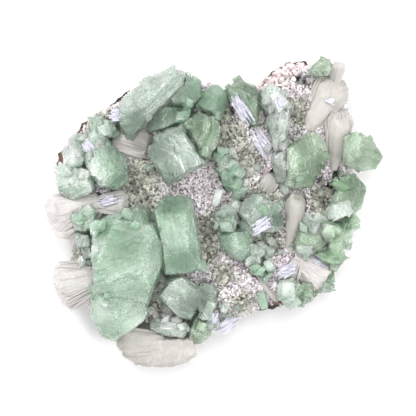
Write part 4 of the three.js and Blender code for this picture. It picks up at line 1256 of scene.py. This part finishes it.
# %% Shells
def make_shell(lobe, depth, seed):
    """A broad ribbed shell with a scalloped edge."""
    t, s = (SHELL_CORNERS[:, 0] + 1) / 2, SHELL_CORNERS[:, 1]
    span = (random.uniform(*lobe.span) if lobe.ribs > SILKY_RIB else 0.9) + 0.45 * depth ** 2
    span = min(span, 1.0)
    middle = random.uniform(-1, 1) * (1 - span) * 0.95
    reach = random.uniform(0.84, 0.93) + 0.09 * depth
    teeth = np.array([noise.noise(Vector((v * 9 * span, seed, 0))) * 0.05
                      + noise.noise(Vector((v * 26 * span, seed, 5))) * 0.03 for v in s])
    t = t * (reach * (1 - 0.26 * np.abs(s) ** 2.6) + teeth)
    across = middle + span * s
    sideways = across * lobe.half_width(t)
    fan_lines = np.column_stack([across * lobe.broad / 2, t * lobe.length / MM * 0.08, np.zeros(len(t))])
    ribs = cloud(fan_lines, 0.9, lobe.seed) + cloud(fan_lines, 0.45, lobe.seed + 1) * 0.5
    flat = np.column_stack([sideways / MM, t * lobe.length / MM, np.zeros(len(t))])
    waves = cloud(flat, 6.0, lobe.seed + 3) * 0.8
    lip = -1.3 * (t / reach) ** 9 - 0.9 * np.abs(s) ** 5
    rise = (ribs * lobe.ribs * np.clip(t * 3, 0, 1) + waves + lip) * MM
    return lobe.points(t, sideways, across, depth, rise)

# %% Blades
def make_blade(lobe, blade_width):
    """A narrow blade of its own."""
    across, depth = random.uniform(-1, 1), random.random()
    reach = (0.9 + 0.1 * depth) * random.uniform(0.86, 1.03) * (1 - 0.17 * across ** 2)
    wide = blade_width * MM * random.uniform(0.6, 1.3)
    roll = random.normal(0, 0.35)
    t = BLADE_CORNERS[:, 0] * reach
    y, z = BLADE_CORNERS[:, 1] * wide * (0.6 + 0.5 * t), BLADE_CORNERS[:, 2] * wide * 0.3
    y, z = y * math.cos(roll) - z * math.sin(roll), y * math.sin(roll) + z * math.cos(roll)
    sideways = across * lobe.half_width(t) + y + random.normal(0, 0.25) * MM * np.sin(t * 5)
    return lobe.points(t, sideways, np.full(len(t), across), depth, z - lobe.thick * 0.1 * t ** 4)

# %% Shells or blades as a mesh
def raw_piece(name, blocks, faces, along, across):
    """Blocks of points that share a shape as one mesh with blade coordinates."""
    count = len(along)
    mesh = bpy.data.meshes.new(name)
    index = np.concatenate([faces + number * count for number in range(len(blocks))])
    mesh.from_pydata(np.concatenate(blocks), [], index.tolist())
    uvs = np.concatenate([np.column_stack([along * 5 + number, across + number * 0.37])
                          for number in range(len(blocks))])
    mesh.uv_layers.new(name="blade").data.foreach_set("uv", uvs[index.ravel()].ravel())
    piece = bpy.data.objects.new(name, mesh)
    bpy.context.collection.objects.link(piece)
    return piece

# %% Building the fans
SHELL_THICKNESS = 0.55 * MM


def build_fan(node, rows):
    """All the shells and blades of a sheaf as one piece, in place of its solid."""
    tree = tree_of([frame["nodes"][node]])
    shells, blades = [], []
    for seed, row in enumerate(rows):
        *line, narrow, broad, thick, shell_count, blade_count, blade_width, opening = row
        lobe = Lobe(tree, *line, narrow, broad, thick, opening, RIB_HEIGHT.get(node, USUAL_RIB),
                    SHELL_SPAN.get(node, USUAL_SPAN), seed)
        shells += [make_shell(lobe, depth, seed * 40 + number)
                   for number, depth in enumerate(np.linspace(0, 1, shell_count))]
        blades += [make_blade(lobe, blade_width) for _ in range(blade_count)]
    fan = raw_piece(node.replace("stilbite", "sheaf"), shells, SHELL_FACES,
                    SHELL_CORNERS[:, 0], SHELL_CORNERS[:, 1])
    apply_modifier(fan, "SOLIDIFY", thickness=SHELL_THICKNESS, offset=-1)
    loose = raw_piece(node + "_blades", blades, BLADE_FACES, BLADE_CORNERS[:, 0], BLADE_CORNERS[:, 1] * 0.3)
    pick(fan)
    loose.select_set(True)
    bpy.ops.object.join()
    smooth(fan, 60)
    paint(fan.data, "white", np.full(len(fan.data.vertices), WHITENESS[node]))
    dress(fan, STILBITE)
    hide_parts(node)
    return fan


for node in STILBITES:
    fan = build_fan(node, LOBES[node])
    print(fan.name, "has", len(fan.data.polygons), "faces")

# %% [markdown]
# ## Pearly flakes
# Apophyllite splits in one direction only, and where it has split the surface shines like pearl. Each
# such place is a row of thin splinters side by side, longest in the middle, that lies on whatever is
# under it. The splinters overlap, so that the row reads as one streaked flake. Their pale colour is
# partly painted pearly sheen, and the last flake is a painted glint on the fold of a sheaf.

# %% The flakes
# Each flake: x, y, length, width (millimetres) and turn (degrees).
FLAKES_AND_GLINT = [
    (12.5, 45.5, 14, 6.5, -60), (21, 29.5, 13, 5.5, -58), (19.8, -6.4, 9, 4.5, 32), (32, -26.4, 9, 4.5, 22),
    (45, -21.5, 10, 5, -25), (-43, 42, 7, 5, 4), (-55.7, 28, 5.5, 3.4, -45), (5, -50.5, 9, 4.5, 30),
    # The last flake lies on the fold of a sheaf as a painted glint.
    (-1, -47, 5, 4, 60), (28, 47, 5, 3, -70), (-47.5, 4.5, 7, 4, 15), (51, 48.5, 5, 2.5, -20),
]

# %% Splinters
def flake_material():
    """Pearl with fine streaks: the pale colour is partly painted sheen."""
    recipe = Recipe("pearly_cleavage")
    lines = recipe.add("UVMap", {"uv_map": "lines"})
    fine = recipe.add("Mapping", None, {"Vector": lines, "Scale": (0.25, 4.0, 1.0)})
    streak = recipe.add("TexNoise", None, {"Vector": fine, "Scale": 1.0, "Detail": 3.0})
    shade = recipe.ramp(streak, (0.4, 0.0), (0.6, 1.0))
    shader = recipe.add("BsdfPrincipled", None, {
        "Base Color": recipe.mix(shade, colour(160, 161, 175), colour(228, 225, 238)),
        "Roughness": recipe.ramp(streak, (0.3, 0.15), (0.7, 0.4)), "Coat Weight": 0.4,
        "Normal": recipe.bump(streak, 0.15 * MM, 0.6)}, output="BSDF")
    return recipe.finish(shader)


def model_splinter():
    """A thin slab, one unit long and wide, with worn edges."""
    bpy.ops.object.select_all(action="DESELECT")
    bpy.ops.mesh.primitive_cube_add(size=1.0, location=(0, 0, 0))
    slab = bpy.context.active_object
    apply_modifier(slab, "BEVEL", width=0.06, segments=1)
    apply_modifier(slab, "TRIANGULATE")
    return take_shape(slab)


PEARL = flake_material()
SPLINTER = model_splinter()

# %% Laying the flakes
SPLINTERS_A_MM = 4.4
UPWARD = 1.5
RAISED = 0.3
below = tree_of(crystals + small_crystals + [crust] + [frame["nodes"][node] for node in STILBITES])
for number, (x, y, length, width, turn) in enumerate(FLAKES_AND_GLINT):
    place, normal, _, _ = below.ray_cast(Vector((x * MM, y * MM, 1)), Vector((0, 0, -1)))
    if place is None:
        place, normal, _, _ = below.find_nearest(Vector((x * MM, y * MM, 0.03)))
    angle = math.radians(turn)
    up = np.array((normal + Vector((0, 0, UPWARD))).normalized())
    along = np.array((math.cos(angle), math.sin(angle), 0))
    along -= up * (along @ up)
    along /= np.linalg.norm(along)
    side = np.cross(up, along)
    count = int(width * SPLINTERS_A_MM)
    across = np.linspace(-0.5, 0.5, count) * width
    lengths = length * random.uniform(0.45, 1.0, count) * (1 - 0.5 * np.abs(across / width))
    shift = random.uniform(-0.2, 0.2, count) * length
    lift = random.uniform(-0.2, 0.5, count)
    offsets = shift[:, None] * along + across[:, None] * side + lift[:, None] * up
    centres = np.array(place) + (offsets + up * RAISED) * MM
    frames = np.tile(np.stack([along, side, up], axis=1), (count, 1, 1))
    frames = frames + random.normal(0, 0.06, frames.shape)
    breadths, heights = random.uniform(0.35, 0.8, count), random.uniform(0.6, 1.2, count)
    scales = np.column_stack([lengths, breadths, heights]) * MM
    flake = joined(f"pearly_flake_{number + 1}", SPLINTER, frames, centres, scales)
    store_lines(flake, turn)
    dress(flake, PEARL)
print(len(FLAKES_AND_GLINT), "pearly flakes")

# %% [markdown]
# ## Floor, light and camera
# A pale floor and soft light from large panels show a clear crystal best: the panels give each face
# one broad highlight, and the world behind them fills the shadows. The camera looks straight down.

# %% Floor
def floor_material():
    """Matt and nearly white."""
    recipe = Recipe("pale_floor")
    grain = recipe.lumps(4 * MM, detail=2.0)
    shader = recipe.add("BsdfPrincipled", None, {
        "Base Color": recipe.mix(grain, colour(246, 246, 246), colour(250, 250, 250)),
        "Roughness": 0.9}, output="BSDF")
    return recipe.finish(shader)


bpy.ops.object.select_all(action="DESELECT")
bpy.ops.mesh.primitive_plane_add(size=8, location=(0, 0, -0.0002))
floor = bpy.context.active_object
floor.name = "floor"
floor.data.materials.append(floor_material())

# %% Light
WORLD_STRENGTH = 0.98
world = bpy.data.worlds.new("studio")
bpy.context.scene.world = world
world.use_nodes = True
background = world.node_tree.nodes["Background"]
background.inputs["Color"].default_value = (1.0, 1.0, 1.0, 1.0)
background.inputs["Strength"].default_value = WORLD_STRENGTH


def panel(name, place, size, power):
    """A soft square lamp of a width in metres and a power in watts, facing the specimen's middle."""
    bpy.ops.object.select_all(action="DESELECT")
    bpy.ops.object.light_add(type="AREA", location=place)
    lamp = bpy.context.active_object
    lamp.name = name
    lamp.data.size = size
    lamp.data.energy = power
    aim = Vector((0, 0, 0.03)) - Vector(place)
    lamp.rotation_euler = aim.to_track_quat("-Z", "Y").to_euler()


panel("key_panel", (-0.40, 0.45, 0.75), 0.20, 4.0)
panel("fill_panel", (0.7, -0.2, 0.6), 0.5, 3.0)
panel("top_panel", (0.12, 0.30, 1.3), 0.35, 3.0)

# %% Camera
FIELD = 183 * MM
MIDDLE = (-3.3 * MM, 1.3 * MM)
FOCUS_HEIGHT = 35 * MM
LENS = 200.0
SENSOR = 36.0
camera_data = bpy.data.cameras.new("camera")
camera_data.lens = LENS
camera_data.sensor_width = SENSOR
camera_data.clip_end = 50
camera = bpy.data.objects.new("camera", camera_data)
bpy.context.collection.objects.link(camera)
camera.location = (*MIDDLE, FOCUS_HEIGHT + FIELD * LENS / SENSOR)
bpy.context.scene.camera = camera
bpy.context.scene.view_settings.view_transform = "Standard"
print("the camera is", round(camera.location.z, 3), "m up and sees", round(FIELD / MM), "mm")
